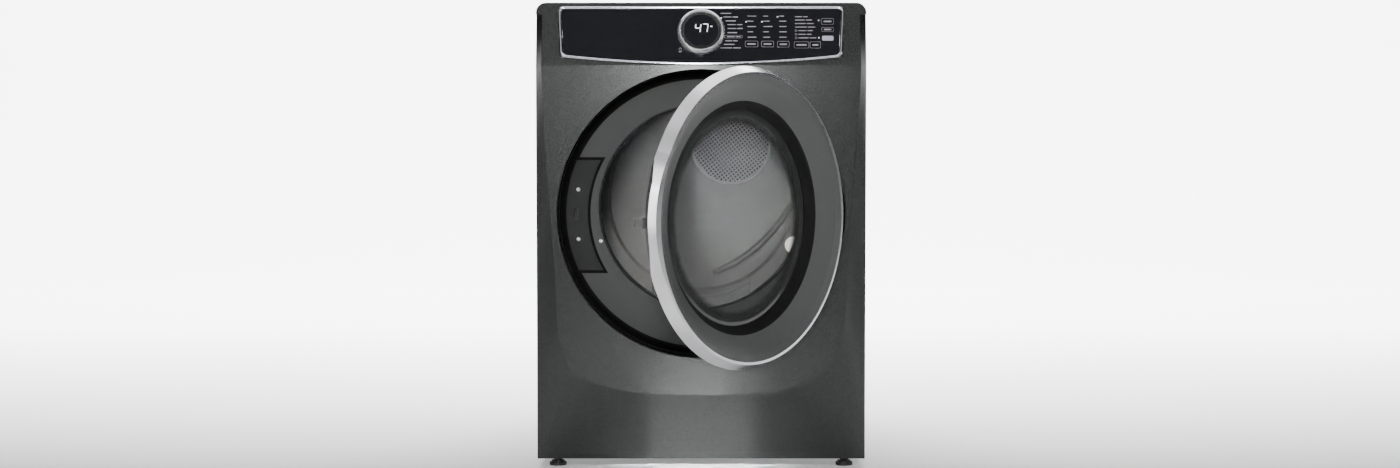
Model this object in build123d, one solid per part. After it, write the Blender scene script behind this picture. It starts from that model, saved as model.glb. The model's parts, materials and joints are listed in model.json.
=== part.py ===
from build123d import *
from math import sin, cos, tan, radians, degrees, sqrt, atan2, acos, pi, hypot
import os

# Front-loading clothes dryer. Millimetres, +X to the right, +Y into the depth, +Z up.
# Origin: on the floor, under the middle of the cabinet's front plane (y = 0).

# ---------------------------------------------------------------- fits and sheet
AIR_GAP = 0.3            # between faces that pass each other
RUN_GAP = 0.05           # running fit, on the radius
SEAT_GAP = 0.2           # between a fixed piece and the edge it sits in
CUT = 1.0                # how far a cutting tool stands past the face it cuts
STEEL = 1.2              # sheet of the cabinet panels
PRESSED = 1.8            # wall of the moulded and pressed inner pieces

# ---------------------------------------------------------------- cabinet sizes
WIDTH = 686.0            # outside
DEPTH = 752.0            # front plane to rear panel
HEIGHT = 970.0           # floor to the top of the top panel
HALF = WIDTH / 2
FOOT_HEIGHT = 18.0       # floor to the underside of the cabinet
FRONT_DEPTH = 60.0       # how far the front panel wraps back to the side panels
TOP_SKIRT = 25.0         # height of the top panel's skirts
CABINET_TOP = HEIGHT - TOP_SKIRT
CORNER_R = 20.0          # top panel's rounded edges
BOW = 6.0                # how far the front bows forward at its middle
BEVEL = 34.0             # depth of the black bevel along the front's sides
BEVEL_WIDTH = 14.0       # its width at the top of the front
SIDE_FOLD = 16.0         # width of the side panels' folded edges
PAN_WALL = 42.0          # height of the base pan's turned-up edges
PAN_SHEET = 2.0
PAN_FRONT = BEVEL + 8.5

# Front panel's crease: distance in from the side at each height, from the top down to the toe.
CREASE = [(HALF - BEVEL_WIDTH, 848.0), (HALF - 16.0, 772.0), (HALF - 28.0, 563.0),
          (HALF - 41.0, 354.0), (HALF - 50.0, 250.0)]
CREASE_CORNER = (HALF - 77.0, 184.0)
CREASE_TOE = [(HALF - 137.0, 158.0), (0.0, 137.0)]

# ---------------------------------------------------------------- console sizes
SLOPE = 20.0             # console leans back by this many degrees
SLOPE_Z = HEIGHT - 132.0  # height at which the lean starts
CONSOLE_TOP = 132.0      # console frame's height along the slope
CONSOLE_HALF_TOP = HALF - 45.0
CONSOLE_HALF_LOW = HALF - 52.0
CONSOLE_DIP = 18.0       # how far the frame's lower edge sags from its ends to its middle
CONSOLE_CORNER = 12.0
TRIM_SIDE = 7.0          # chrome frame's width at its sides, top and bottom
TRIM_TOP = 6.5
TRIM_LOW = 6.0
TRIM_PROUD = 3.0
TRIM_DEPTH = 5.0
CONSOLE_SLACK = 0.6      # between the frame and the panels round it
FASCIA_THICK = 3.0

DIAL_V = 72.5            # dial's height along the slope, from the frame's lowest point
DIAL_R = 49.0
DIAL_PROUD = 16.0
DIAL_BORE_R = DIAL_R - 8.5
DISPLAY_R = DIAL_BORE_R - 5.0
DIAL_SKIRT = 3.5         # width of the dial's skirt behind the fascia
TOWER_R = DISPLAY_R - 4.0  # hole through the dial's fixed tower
TOWER_DEPTH = 34.0

KEY_GAP = 0.35
KEY_TRAVEL = 0.8
KEY_PROUD = 1.0
KEY_DEPTH = 5.0
KEY_CORNER = 4.0
KEY_STEM_R = 2.5
KEYS = {
    # name: (centre x, height along the slope, width, height)
    "key_power": (6.0 - DIAL_R, 34.0, 14.0, 13.0),
    "key_setting_a": (104.0, 47.0, 28.0, 15.0),
    "key_setting_b": (137.0, 47.0, 27.0, 15.0),
    "key_setting_c": (169.5, 46.5, 26.0, 15.0),
    "key_options": (207.0, 45.0, 32.0, 16.0),
    "key_hold": (235.5, 45.0, 23.0, 16.0),
    "key_start": (261.5, 97.5, 27.0, 15.0),
    "key_cancel": (261.5, 79.5, 26.0, 11.5),
    "key_steam": (261.5, 60.0, 25.0, 12.0),
}
BOARD_W = 12.0           # control board's front face, behind the fascia's front face
BOARD_X, BOARD_V = 58.0, 73.5
BOARD_WIDTH, BOARD_HEIGHT = 430.0, 75.0
BOARD_THICK = 1.6
SWITCH = 8.0             # side of a switch block
TRAY_LOW, TRAY_HIGH = HEIGHT - 108.0, HEIGHT - 20.0
TRAY_BACK = 88.0
TRAY_WALL = 2.5
TRAY_HALF = CONSOLE_HALF_LOW - 9.0

# ---------------------------------------------------------------- door well and throat sizes
FLANGE_END = 18.0        # y where the front panel's rolled flange ends
WELL_Z = 532.0           # height of the door's centre
WELL_R = 298.0           # hole in the front panel
WELL_DEPTH = 45.0        # front plane to the flat ring round the drum opening
GROOVE = 12.0            # width of the dark groove round that ring
GROOVE_DEPTH = 14.0
RING_R = WELL_R - GROOVE
DRUM_Z = WELL_Z + 13.0   # drum axis and the opening's centre
OPENING_R = 211.0
OPENING_LIP = 4.0        # rolled edge round the opening
COLLAR_R = OPENING_R + 25.0   # drum's front collar, inside
FELT_THICK = 9.0
THROAT_END = WELL_DEPTH + 59.0  # where the throat ends inside the drum's collar

LATCH_X, LATCH_Z = 37.0 - WELL_R, WELL_Z - 2.0
LATCH_HALF = 118.0       # half height of the sector-shaped latch plate
LATCH_INNER_R = 234.0    # its inner edge, about the door's centre
LATCH_GROOVE = 3.0       # groove round the latch plate
LATCH_PROUD = 3.0
LATCH_BED = 0.6          # depth of its pocket in the flat ring
SLOT_HALF_X, SLOT_HALF_Z = 5.0, 12.0
STRIKE_HALF = 7.0
STRIKE_REACH = 15.0      # how far the strike enters behind the flat ring
SCREW_SHANK_R = 2.0
SCREW_HOLE_R = 2.2
SCREW_HEAD_R = 4.2
PLATE_SCREWS = ((-256.0, WELL_Z + 50.0), (-256.0, WELL_Z - 54.0))
RING_SCREW = (-209.5, WELL_Z - 58.0)

# ---------------------------------------------------------------- door sizes, closed
DOOR_R = WELL_R - 2.5    # door ring's rear edge
DOOR_FACE_R = DOOR_R - 11.5   # door ring's front edge
DOOR_BACK = -2.0         # y of the ring's rear edge
DOOR_THICK = 22.4        # rear edge to front edge
RING_WALL = 2.5
RING_LIP = 5.0           # width of the ring's front lip
GRIP_HALF = 132.0        # half height of the grip bulge
GRIP_PROUD = 9.0
FINGER_GAP = 9.0         # opening behind the overhanging grip
DISH_EDGE_R = 222.5      # where the dish ends and the window recess starts
DISH_EDGE_Y = 9.0
GLASS_R = 214.0
GLASS_WALL = 4.0
GLASS_BULGE = 9.0
FRAME_R = 262.0          # moulded inner frame, outside
FRAME_Y = WELL_DEPTH - 10.0   # its back face
GLASS_Y = FRAME_Y - 8.0
SEAL_R = 226.5           # middle of the door seal
SEAL_WIDTH = 11.0

HINGE_X = DOOR_R - 19.5
HINGE_Y = -10.0
PIN_R = 3.0
BARREL_R = 6.0
LUG_Z = 60.0             # hinge lugs' inner faces, above and below the door's centre
LUG_THICK = 6.0
LUG_NOTCH_R = 9.0        # room for a lug in the door's pieces
NOTCH_GAP = 1.5
DOOR_OPEN = 49.5         # degrees open at rest

# ---------------------------------------------------------------- drum sizes
DRUM_R = 325.0
DRUM_WALL = 1.5
DRUM_FRONT = THROAT_END + 4.0
DRUM_REAR = DEPTH - 70.0
COLLAR_END = DRUM_FRONT + 20.0
CONE_END = COLLAR_END + 48.0
BEAD_Y = (CONE_END + 94.0, DRUM_REAR - 142.0)
BEAD_PROUD = 4.0
BEAD_HALF = 11.0
LIFTER_COUNT = 3
LIFTER_ROOT = 62.0
LIFTER_TIP = 24.0
LIFTER_WALL = 3.0
LIFTER_INSET = 30.0
LIFTER_DROP = 26.0
LIFTER_HEIGHT = 58.0
LIFTER_ANGLE = 45.0
BULKHEAD_Y = DRUM_REAR + 10.0   # rear bulkhead's front face
BULKHEAD_R = DRUM_R + 11.0
BULKHEAD_SHEET = 1.5
STEP_R = 226.0           # round step pressed back into the bulkhead
STEP_DEPTH = 8.0
RIDGE_R = 7.0            # ridge pressed forward across the bulkhead
RIDGE_SINK = 2.5
RIDGE_POINTS = [(36.0, -180.0), (148.0, -110.0), (218.0, -22.0)]   # about the drum axis
ROLLER_R = 30.0
ROLLER_ANGLE = 35.0      # rollers lie this far round from straight below the axis
ROLLER_WIDTH = 23.0
ROLLER_Y0 = DRUM_REAR - 27.0
ROLLER_Y1 = ROLLER_Y0 + ROLLER_WIDTH
AXLE_R = 5.0

GRILLE_X, GRILLE_Z = 73.0, DRUM_Z + 131.0
GRILLE_R = 98.0
GRILLE_SHOULDER_X, GRILLE_SHOULDER_Z = 52.0, 66.0
GRILLE_SHOULDER_R = 42.0
GRILLE_RIM = 8.0
GRILLE_PITCH = 20.0
GRILLE_HOLE = 9.6        # side of each diamond hole
GRILLE_WALL = 1.2
LAMP_X, LAMP_Z = 225.0, DRUM_Z - 115.0
LAMP_R = 20.0
HEATER_X0, HEATER_X1 = GRILLE_X - 107.0, GRILLE_X + 107.0
HEATER_Y0, HEATER_Y1 = BULKHEAD_Y + 10.0, DEPTH - 8.0
HEATER_Z0, HEATER_Z1 = DRUM_Z - 215.0, DRUM_Z + 245.0
HEATER_SHEET = 1.0
COIL_ROWS = 6
COIL_PITCH = 34.0
COIL_R = 6.0
COIL_WIRE_R = 3.0

# ---------------------------------------------------------------- lint filter and duct sizes
FILTER_HALF = 116.0
FILTER_Y0 = WELL_DEPTH + 23.0
FILTER_Y1 = FILTER_Y0 + 24.0
FILTER_LOW = 150.0
FILTER_WALL = 2.5
FILTER_LIP = 20.0
FILTER_GAP = 0.4         # slack of the filter in its slot
FILTER_FACE = 4.0        # thickness of its rear wall and lip
SCREEN_WIDE, SCREEN_TALL = 46.0, 58.0
SCREEN_BAR = 8.0
DUCT_GAP = 4.0
DUCT_HALF = FILTER_HALF + DUCT_GAP
DUCT_Y0, DUCT_Y1 = FILTER_Y0 - DUCT_GAP, FILTER_Y1 + DUCT_GAP
DUCT_FOOT = 54.0         # half height of the duct's foot, about the motor's axis

# ---------------------------------------------------------------- drive sizes
BLOWER_Y0 = DUCT_Y1 + 4.0
BLOWER_Y1 = BLOWER_Y0 + 56.0
MOTOR_Y0 = BLOWER_Y1 + 34.0
MOTOR_Y1 = MOTOR_Y0 + 150.0
BELT_Y = MOTOR_Y1 + 60.0
MOTOR_X, MOTOR_Z = 170.0, 118.0
MOTOR_R = 62.0
MOTOR_FINS = 12
SHAFT_R = 7.0
PULLEY_R = 12.0
FLANGE = 5.0             # pulley flanges above the belt's seat
BELT_WIDTH = 14.0
BELT_THICK = 3.0
IDLER_R = 26.0
IDLER_X, IDLER_Z = 84.0, 128.0
IDLER_AXLE_R = 4.0
ARM_PIVOT_X, ARM_PIVOT_Z = 128.0, 52.0
ARM_PIN_R = 5.0
ARM_BOSS_R = 9.0
ARM_Y = BELT_Y - 22.0    # idler arm's front face
ARM_THICK = 4.0
ARM_BOSS = 8.0           # length of the arm's boss on its pivot
SPRING_Z = 80.0
SPRING_POST_X = 200.0    # where the idler's spring is hooked to the base
SPRING_PIN_R = 2.5
SPRING_R = 5.0
SPRING_WIRE = 0.9
SPRING_PITCH = 8.0
SPRING_TURNS = 5
BLOWER_R = 74.0
BLOWER_WALL = 2.0
BLOWER_CASE_R = 94.0
BLOWER_INLET_R = 50.0
BLADES = 20
EXHAUST_R = 50.8         # outside of the exhaust pipe, for a 4 inch duct
EXHAUST_X, EXHAUST_Z = 0.0, 86.0
EXHAUST_WALL = 1.0
EXHAUST_REACH = 45.0     # how far the outlet collar stands out of the rear panel
OUTLET_HALF = 56.0       # half height of the blower's outlet box

# ---------------------------------------------------------------- rear and feet sizes
DOME_R = 262.0           # round dome pressed out of the rear panel
DOME_Z = DRUM_Z + 35.0
DOME_PROUD = 9.0
LOUVRES = 7
LOUVRE_PITCH = 16.0
LOUVRE_HEIGHT = 6.0
COVER_X0, COVER_X1 = 53.0 - HALF, 153.0 - HALF
COVER_Z0, COVER_Z1 = 190.0, 290.0
COVER_REACH = 36.0
GLAND_R = 11.0           # strain-relief hole under the terminal cover
GLAND_Y = DEPTH + 14.0
FOOT_X = HALF - 41.0
FOOT_Y0, FOOT_Y1 = 66.0, DEPTH - 52.0
FOOT_R = 18.0
FOOT_STUD_R = 5.0
FOOT_STUD_TOP = 50.0


# ---------------------------------------------------------------- helpers
def block(x0, x1, y0, y1, z0, z1):
    """A box between two corners."""
    return Pos((x0 + x1) / 2, (y0 + y1) / 2, (z0 + z1) / 2) * Box(x1 - x0, y1 - y0, z1 - z0)


def rod_y(r, y0, y1, x=0.0, z=0.0):
    """A round bar along Y."""
    return Pos(x, (y0 + y1) / 2, z) * Rot(90, 0, 0) * Cylinder(r, y1 - y0)


def rod_z(r, z0, z1, x=0.0, y=0.0):
    """A round bar along Z."""
    return Pos(x, y, (z0 + z1) / 2) * Cylinder(r, z1 - z0)


def ring_y(r_out, r_in, y0, y1, x=0.0, z=0.0):
    """A plain ring along Y."""
    return rod_y(r_out, y0, y1, x, z) - rod_y(r_in, y0 - 1, y1 + 1, x, z)


def lathe(points, x=0.0, z=0.0):
    """Turn an outline of (radius, y) corners about an axis along Y through (x, z)."""
    face = make_face(Polyline(*points, close=True))
    return Pos(x, 0, z) * revolve(face, Axis.Y, 360)


def side_prism(points, x0, x1):
    """Extrude an outline of (y, z) corners from x0 to x1."""
    plane = Plane(origin=(x0, 0, 0), x_dir=(0, 1, 0), z_dir=(1, 0, 0))
    return extrude(plane * make_face(Polyline(*points, close=True)), x1 - x0)


def front_plane(y):
    """Plane for sketches drawn in (x, z) at one depth."""
    return Plane(origin=(0, y, 0), x_dir=(1, 0, 0), z_dir=(0, -1, 0))


def front_prism(sketch, y0, y1):
    """Extrude a sketch drawn in (x, z) from y0 to y1."""
    return extrude(front_plane(y0) * sketch, -(y1 - y0))


def lean_y(z):
    """Depth of the leaning console plane at a height."""
    return max(0.0, (z - SLOPE_Z) * tan(radians(SLOPE)))


def group(solids):
    """Several separate solids in one node."""
    return Compound(children=[s for part in solids for s in part.solids()])


# Console plane: local x to the right, local y up the slope, local z out towards the user.
CONSOLE = Plane(
    origin=(0, 0, SLOPE_Z),
    x_dir=(1, 0, 0),
    z_dir=(0, -cos(radians(SLOPE)), sin(radians(SLOPE))),
)


def on_console(sketch, w0, w1):
    """Extrude a sketch drawn on the console plane between two heights above it."""
    return extrude(CONSOLE.offset(w0) * sketch, w1 - w0)


def console_outline(side, low, top, corner):
    """The frame's outline, drawn in from its edge by the given amounts."""
    half_low = CONSOLE_HALF_LOW - side
    taper = (CONSOLE_HALF_TOP - CONSOLE_HALF_LOW) / (CONSOLE_TOP - CONSOLE_DIP)
    half_top = half_low + taper * (CONSOLE_TOP - top - CONSOLE_DIP - low)
    dip = ThreePointArc((-half_low, CONSOLE_DIP + low), (0, low), (half_low, CONSOLE_DIP + low))
    rest = Polyline((half_low, CONSOLE_DIP + low), (half_top, CONSOLE_TOP - top),
                    (-half_top, CONSOLE_TOP - top), (-half_low, CONSOLE_DIP + low))
    face = make_face(Curve() + [dip, rest])
    return fillet(face.vertices(), corner)


# ---------------------------------------------------------------- cabinet
def pushed(point, outer, depth):
    """Carry a crease point forward along the bevel, so that the bowed face can cut it."""
    k = 1 + depth / BEVEL
    return tuple(o + (c - o) * k for c, o in zip(point, outer))


def front_frustum(inset):
    """Bevelled body of the lower front: a shield in front, the cabinet's outline behind."""
    ahead = BOW + 2.0
    half, low, top = HALF - inset, FOOT_HEIGHT + inset, SLOPE_Z
    shrink = 1 - inset / HALF
    side = [pushed((x * shrink, z), (half, low + (z - CREASE_CORNER[1]) * (top - low)
                   / (CREASE[0][1] - CREASE_CORNER[1])), ahead) for x, z in CREASE]
    side[0] = (side[0][0], top)
    corner = pushed((CREASE_CORNER[0] * shrink, CREASE_CORNER[1] + inset), (half, low), ahead)
    toe = [pushed((x * shrink, z + inset), (x * 1.25, low), ahead) for x, z in CREASE_TOE]

    def mirrored(points):
        return [(-x, z) for x, z in reversed(points)]

    right = Spline(*side, corner)
    bottom = Spline(corner, *toe, *mirrored(toe)[1:], (-corner[0], corner[1]))
    left = Spline((-corner[0], corner[1]), *mirrored(side))
    lid = Line((-side[0][0], top), (side[0][0], top))
    front = make_face(Curve() + [right, bottom, left, lid])
    back = make_face(Polyline((half, top), (half, low), (-half, low), (-half, top), close=True))
    shell = loft([front_plane(inset - ahead) * front, front_plane(inset + BEVEL) * back], ruled=True)
    return shell + block(-half, half, inset + BEVEL, FRONT_DEPTH, low, top)


def bow_prism(inset):
    """Everything behind the bowed face."""
    half = HALF + 5
    arc = ThreePointArc((-half, inset), (0, inset - BOW), (half, inset))
    rest = Polyline((half, inset), (half, FRONT_DEPTH), (-half, FRONT_DEPTH), (-half, inset))
    return Pos(0, 0, FOOT_HEIGHT) * extrude(make_face(Curve() + [arc, rest]), HEIGHT)


def plan_section(z, half_face, y_face, y_bevel, inset):
    """Plan outline of the leaning upper front at one height."""
    half = HALF - inset
    x = half_face - inset
    arc = ThreePointArc((-x, y_face + inset), (0, y_face + inset - BOW), (x, y_face + inset))
    rest = Polyline((x, y_face + inset), (half, y_bevel + inset), (half, FRONT_DEPTH),
                    (-half, FRONT_DEPTH), (-half, y_bevel + inset), (-x, y_face + inset))
    return Pos(0, 0, z) * make_face(Curve() + [arc, rest])


def front_upper(inset):
    """Leaning upper part of the front, above the start of the slope."""
    top = CABINET_TOP
    lean = lean_y(top)
    low = plan_section(SLOPE_Z, CREASE[0][0], 0.0, BEVEL, inset)
    high = plan_section(top, CREASE[0][0], lean, min(lean + BEVEL, FRONT_DEPTH - 6.0), inset)
    return loft([low, high], ruled=True)


def front_form(inset):
    """Whole front panel as a full body, drawn in by a wall."""
    return (front_frustum(inset) & bow_prism(inset)) + front_upper(inset)


def console_cut():
    """Space that the console frame takes out of the panels round it."""
    outline = console_outline(-CONSOLE_SLACK, -CONSOLE_SLACK, -CONSOLE_SLACK, CONSOLE_CORNER)
    return on_console(outline, -60, 40)


def make_front_panel():
    """Pressed front panel: bevelled shield face, door hole with a rolled flange, console cut."""
    inner, rear = HALF - STEEL, FRONT_DEPTH + CUT
    shell = front_form(0.0) - front_form(STEEL)
    shell -= block(-inner, inner, FRONT_DEPTH - 2, rear, FOOT_HEIGHT + STEEL, CABINET_TOP + CUT)
    shell -= block(-inner, inner, PAN_FRONT - 0.5, rear, FOOT_HEIGHT - CUT, FOOT_HEIGHT + STEEL + CUT)
    shell -= rod_y(WELL_R, -BEVEL, rear, 0, WELL_Z)
    shell += ring_y(WELL_R + STEEL, WELL_R, -BOW - CUT, FLANGE_END, 0, WELL_Z) & front_form(0.0)
    above = console_outline(-CONSOLE_SLACK, -CONSOLE_SLACK, -TOP_SKIRT - 15.0, CONSOLE_CORNER)
    return shell - on_console(above, -60, 40)


def make_side_panel(side):
    """Flat sheet with its front and top edges folded in."""
    def sheet(depth_in, depth_out, y1, z0, z1):
        x0, x1 = sorted((side * (HALF - depth_in), side * (HALF - depth_out)))
        return block(x0, x1, FRONT_DEPTH, y1, z0, z1)
    panel = sheet(STEEL, 0.0, DEPTH, FOOT_HEIGHT, CABINET_TOP)
    panel += sheet(SIDE_FOLD, STEEL, FRONT_DEPTH + STEEL, FOOT_HEIGHT + PAN_WALL + 2, CABINET_TOP)
    return panel + sheet(SIDE_FOLD, STEEL, DEPTH, CABINET_TOP - STEEL, CABINET_TOP)


def make_top_panel():
    """Folded lid with rounded edges; its leaning front is cut out round the console."""
    def hood(inset):
        half, top, corner = HALF - inset, HEIGHT - inset, CORNER_R - inset
        face = make_face(Polyline((half, CABINET_TOP), (half, top), (-half, top),
                                  (-half, CABINET_TOP), close=True))
        face = fillet(face.vertices().group_by(Axis.Y)[-1], corner)
        body = front_prism(face, 0, DEPTH - inset)
        lean = side_prism([(lean_y(CABINET_TOP) + inset, CABINET_TOP - 1),
                           (lean_y(HEIGHT) + inset, HEIGHT), (DEPTH, HEIGHT),
                           (DEPTH, CABINET_TOP - 1)], -HALF, HALF)
        return body & lean
    shell = hood(0.0) - hood(STEEL)
    inner = HALF - STEEL
    shell -= block(-inner, inner, FRONT_DEPTH, DEPTH - STEEL, CABINET_TOP - 5, CABINET_TOP + CUT)
    return shell - console_cut()


def make_base_pan():
    """Base pan with turned-up edges, a motor stand, the idler's post and the spring's bracket."""
    low, floor = FOOT_HEIGHT, FOOT_HEIGHT + PAN_SHEET
    inner = HALF - STEEL - AIR_GAP
    y0, y1 = PAN_FRONT, DEPTH - STEEL - 0.5
    pan = block(-inner, inner, y0, y1, low, low + PAN_WALL)
    pan -= block(-inner + PAN_SHEET, inner - PAN_SHEET, y0 + PAN_SHEET, y1 - PAN_SHEET, floor,
                 low + PAN_WALL + CUT)
    for y in (MOTOR_Y0 + 22, MOTOR_Y1 - 22):
        cradle = block(MOTOR_X - MOTOR_R - 8, MOTOR_X + MOTOR_R + 8, y - 3, y + 3, floor, MOTOR_Z - 18)
        pan += cradle - rod_y(MOTOR_R + SEAT_GAP, y - 4, y + 4, MOTOR_X, MOTOR_Z)
    pan += block(ARM_PIVOT_X - 14, ARM_PIVOT_X + 14, ARM_Y - 12, ARM_Y - AIR_GAP, floor - 1, ARM_PIVOT_Z + 12)
    pan += rod_y(ARM_PIN_R, ARM_Y - 1, ARM_Y + ARM_BOSS, ARM_PIVOT_X, ARM_PIVOT_Z)
    pan += block(SPRING_POST_X, SPRING_POST_X + 3, ARM_Y - 4, ARM_Y + 14, floor - 1, SPRING_Z + 8)
    pan -= rod_y(EXHAUST_R + 3.5, y1 - 30, y1 + CUT, EXHAUST_X, EXHAUST_Z)
    for x in (-FOOT_X, FOOT_X):
        for y in (FOOT_Y0, FOOT_Y1):
            pan -= rod_z(FOOT_STUD_R + RUN_GAP, low - CUT, low + 20, x, y)
    return pan


# ---------------------------------------------------------------- console
def make_console_frame():
    """Chrome frame: a flat moulding round the fascia."""
    outer = console_outline(0.0, 0.0, 0.0, CONSOLE_CORNER)
    inner = console_outline(TRIM_SIDE, TRIM_LOW, TRIM_TOP, CONSOLE_CORNER - 5.0)
    return on_console(outer - inner, -TRIM_DEPTH, TRIM_PROUD)


def key_shape(name, grow):
    """A key's rounded outline, grown by a gap all round."""
    x, v, width, height = KEYS[name]
    corner = min(KEY_CORNER, height / 2 - 0.5)
    return Pos(x, v) * RectangleRounded(width + 2 * grow, height + 2 * grow, corner + grow)


def dial_disc(radius):
    """A disc about the dial's axis, drawn on the console plane."""
    return Pos(0, DIAL_V) * Circle(radius)


def make_fascia():
    """Glossy fascia with a hole for each key and for the dial's skirt."""
    face = console_outline(TRIM_SIDE + AIR_GAP, TRIM_LOW + AIR_GAP, TRIM_TOP + AIR_GAP,
                           CONSOLE_CORNER - 5.0 - AIR_GAP)
    face -= dial_disc(DIAL_BORE_R + DIAL_SKIRT + 0.5)
    for name in KEYS:
        face -= key_shape(name, KEY_GAP)
    return on_console(face, -FASCIA_THICK, 0.0)


def make_key(name):
    """A key cap with a stem for the switch behind it."""
    x, v = KEYS[name][:2]
    cap = on_console(key_shape(name, 0.0), KEY_PROUD - KEY_DEPTH, KEY_PROUD)
    stem = Pos(x, v) * Circle(KEY_STEM_R)
    return cap + on_console(stem, -BOARD_W + KEY_TRAVEL + AIR_GAP, KEY_PROUD - KEY_DEPTH)


def make_control_board():
    """Circuit board behind the fascia, with a switch block under each key."""
    face = Pos(BOARD_X, BOARD_V) * Rectangle(BOARD_WIDTH, BOARD_HEIGHT) - dial_disc(DIAL_BORE_R + CUT)
    front = -BOARD_W - 1.4
    board = on_console(face, front - BOARD_THICK, front)
    low = BOARD_V - BOARD_HEIGHT / 2 + SWITCH / 2
    for x, v, _, _ in KEYS.values():
        board += on_console(Pos(x, max(v, low)) * Rectangle(SWITCH, SWITCH), front - 0.6, -BOARD_W)
    return board


def make_console_tray():
    """Moulded tray that carries the fascia, the board and the dial's tower."""
    z0, z1 = TRAY_LOW, TRAY_HIGH
    behind = (FASCIA_THICK + SEAT_GAP) / cos(radians(SLOPE))

    def form(wall, front):
        low, high, back = z0 + wall, z1 - wall, TRAY_BACK - wall
        corners = [(lean_y(low) + front, low), (lean_y(high) + front, high), (back, high), (back, low)]
        return side_prism(corners, wall - TRAY_HALF, TRAY_HALF - wall)

    tray = form(0.0, behind) - form(TRAY_WALL, behind - 5)
    edge = BOARD_HEIGHT / 2
    rails = Pos(BOARD_X, BOARD_V + edge + 4) * Rectangle(BOARD_WIDTH, 16)
    rails += Pos(BOARD_X, BOARD_V - edge - 2) * Rectangle(BOARD_WIDTH, 12)
    rails = on_console(rails, -BOARD_W - 6.0, -BOARD_W - 3.0) & form(0.0, behind)
    rails -= on_console(dial_disc(DISPLAY_R), -60, 0)
    for hole in (dial_disc(DIAL_BORE_R + DIAL_SKIRT + 0.5), key_shape("key_power", 2.0)):
        tray -= on_console(hole, -BOARD_W, 0.0)
    outer = dial_disc(DIAL_BORE_R - AIR_GAP)
    tower = on_console(outer - dial_disc(TOWER_R), -TOWER_DEPTH, 0.0)
    tower += on_console(outer, -TOWER_DEPTH - 2.0, -TOWER_DEPTH)
    tower += on_console(dial_disc(DISPLAY_R + 2.0) - dial_disc(TOWER_R), 0.0, DIAL_PROUD - 5.0)
    stay = block(-20, 20, 55, TRAY_BACK - 1, z0 + 30, z0 + 36)
    return tray + rails + tower + stay


def make_dial_ring():
    """Chrome ring that turns round the fixed display, with a skirt behind the fascia."""
    bore, top, low = DIAL_BORE_R, DIAL_PROUD, 0.4
    rim = [(bore, low), (DIAL_R, low), (DIAL_R, top - 6), (DIAL_R - 2.0, top - 1.5),
           (DIAL_R - 4.5, top), (bore + 2.5, top), (bore, top - 4)]
    skirt = [(bore, -8.0), (bore + DIAL_SKIRT, -8.0), (bore + DIAL_SKIRT, low + 0.1), (bore, low + 0.1)]
    turned = revolve(make_face(Polyline(*rim, close=True)), Axis.Y, 360)
    turned += revolve(make_face(Polyline(*skirt, close=True)), Axis.Y, 360)
    return CONSOLE.location * Pos(0, DIAL_V, 0) * Rot(90, 0, 0) * turned


def make_display_lens():
    """Round display window standing on the tower's neck."""
    lens = on_console(dial_disc(DISPLAY_R), DIAL_PROUD - 5.0, DIAL_PROUD - 2.0)
    return fillet(lens.edges().filter_by(GeomType.CIRCLE).sort_by(Axis.Y)[0], 1.2)


# ---------------------------------------------------------------- front bulkhead and throat
def make_door_well():
    """Recess wall, dark groove, flat ring round the opening, and the throat into the drum."""
    ring, bed, wall, t = WELL_DEPTH, WELL_DEPTH + GROOVE_DEPTH, WELL_R - AIR_GAP, 1.5
    dish = lathe([(WELL_R + 22, FLANGE_END + 2), (WELL_R + 22, FLANGE_END + 2 + t),
                  (wall - t, FLANGE_END + 2 + t), (wall - t, bed + t), (RING_R - PRESSED, bed + t),
                  (RING_R - PRESSED, ring + PRESSED), (150.0, ring + PRESSED), (150.0, ring),
                  (RING_R, ring), (RING_R, bed), (wall, bed), (wall, FLANGE_END + 2)], 0, WELL_Z)
    dish -= rod_y(OPENING_R, ring - CUT, bed + 3, 0, DRUM_Z)
    seat = COLLAR_R - FELT_THICK
    throat = lathe([(OPENING_R, ring + 2.5), (OPENING_R + 2.5, ring),
                    (OPENING_R + OPENING_LIP, ring + PRESSED), (OPENING_R + PRESSED, ring + 3.5), (OPENING_R + PRESSED, THROAT_END - 2),
                    (seat, THROAT_END - 2), (seat, THROAT_END + 20), (seat - PRESSED, THROAT_END + 20),
                    (seat - PRESSED, THROAT_END), (OPENING_R, THROAT_END)], 0, DRUM_Z)
    half = FILTER_HALF + FILTER_GAP
    slot = block(-half, half, FILTER_Y0 - FILTER_GAP, FILTER_Y1 + FILTER_GAP, FILTER_LOW,
                 DRUM_Z - 0.7 * OPENING_R)
    pocket = front_prism(latch_outline(0.0), ring - 5, ring + LATCH_BED)
    well = (dish + throat) - slot - pocket
    well -= block(LATCH_X - 6, LATCH_X + 6, ring - 2, ring + 8, LATCH_Z - 14, LATCH_Z + 14)
    for x, z in (*PLATE_SCREWS, RING_SCREW):
        well -= rod_y(SCREW_HOLE_R, ring - CUT, ring + 4, x, z)
    return well


def latch_outline(inset):
    """Sector between two radii about the door's centre, as tall as the latch plate."""
    ring = Circle(RING_R - 1.5 - inset) - Circle(LATCH_INNER_R + inset)
    window = Pos(-WELL_R, -4) * Rectangle(WELL_R, 2 * (LATCH_HALF - inset))
    return Pos(0, WELL_Z) * (ring & window)


def make_latch_plate():
    """Curved cover plate beside the opening, with the strike's slot and two screw seats."""
    plate = front_prism(latch_outline(LATCH_GROOVE), WELL_DEPTH - LATCH_PROUD, WELL_DEPTH + LATCH_BED)
    y0, y1 = WELL_DEPTH - 6, WELL_DEPTH + 2
    plate -= block(LATCH_X - SLOT_HALF_X, LATCH_X + SLOT_HALF_X, y0, y1, LATCH_Z - SLOT_HALF_Z,
                   LATCH_Z + SLOT_HALF_Z)
    for x, z in PLATE_SCREWS:
        plate -= rod_y(SCREW_HOLE_R, y0, y1, x, z)
    return plate


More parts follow.
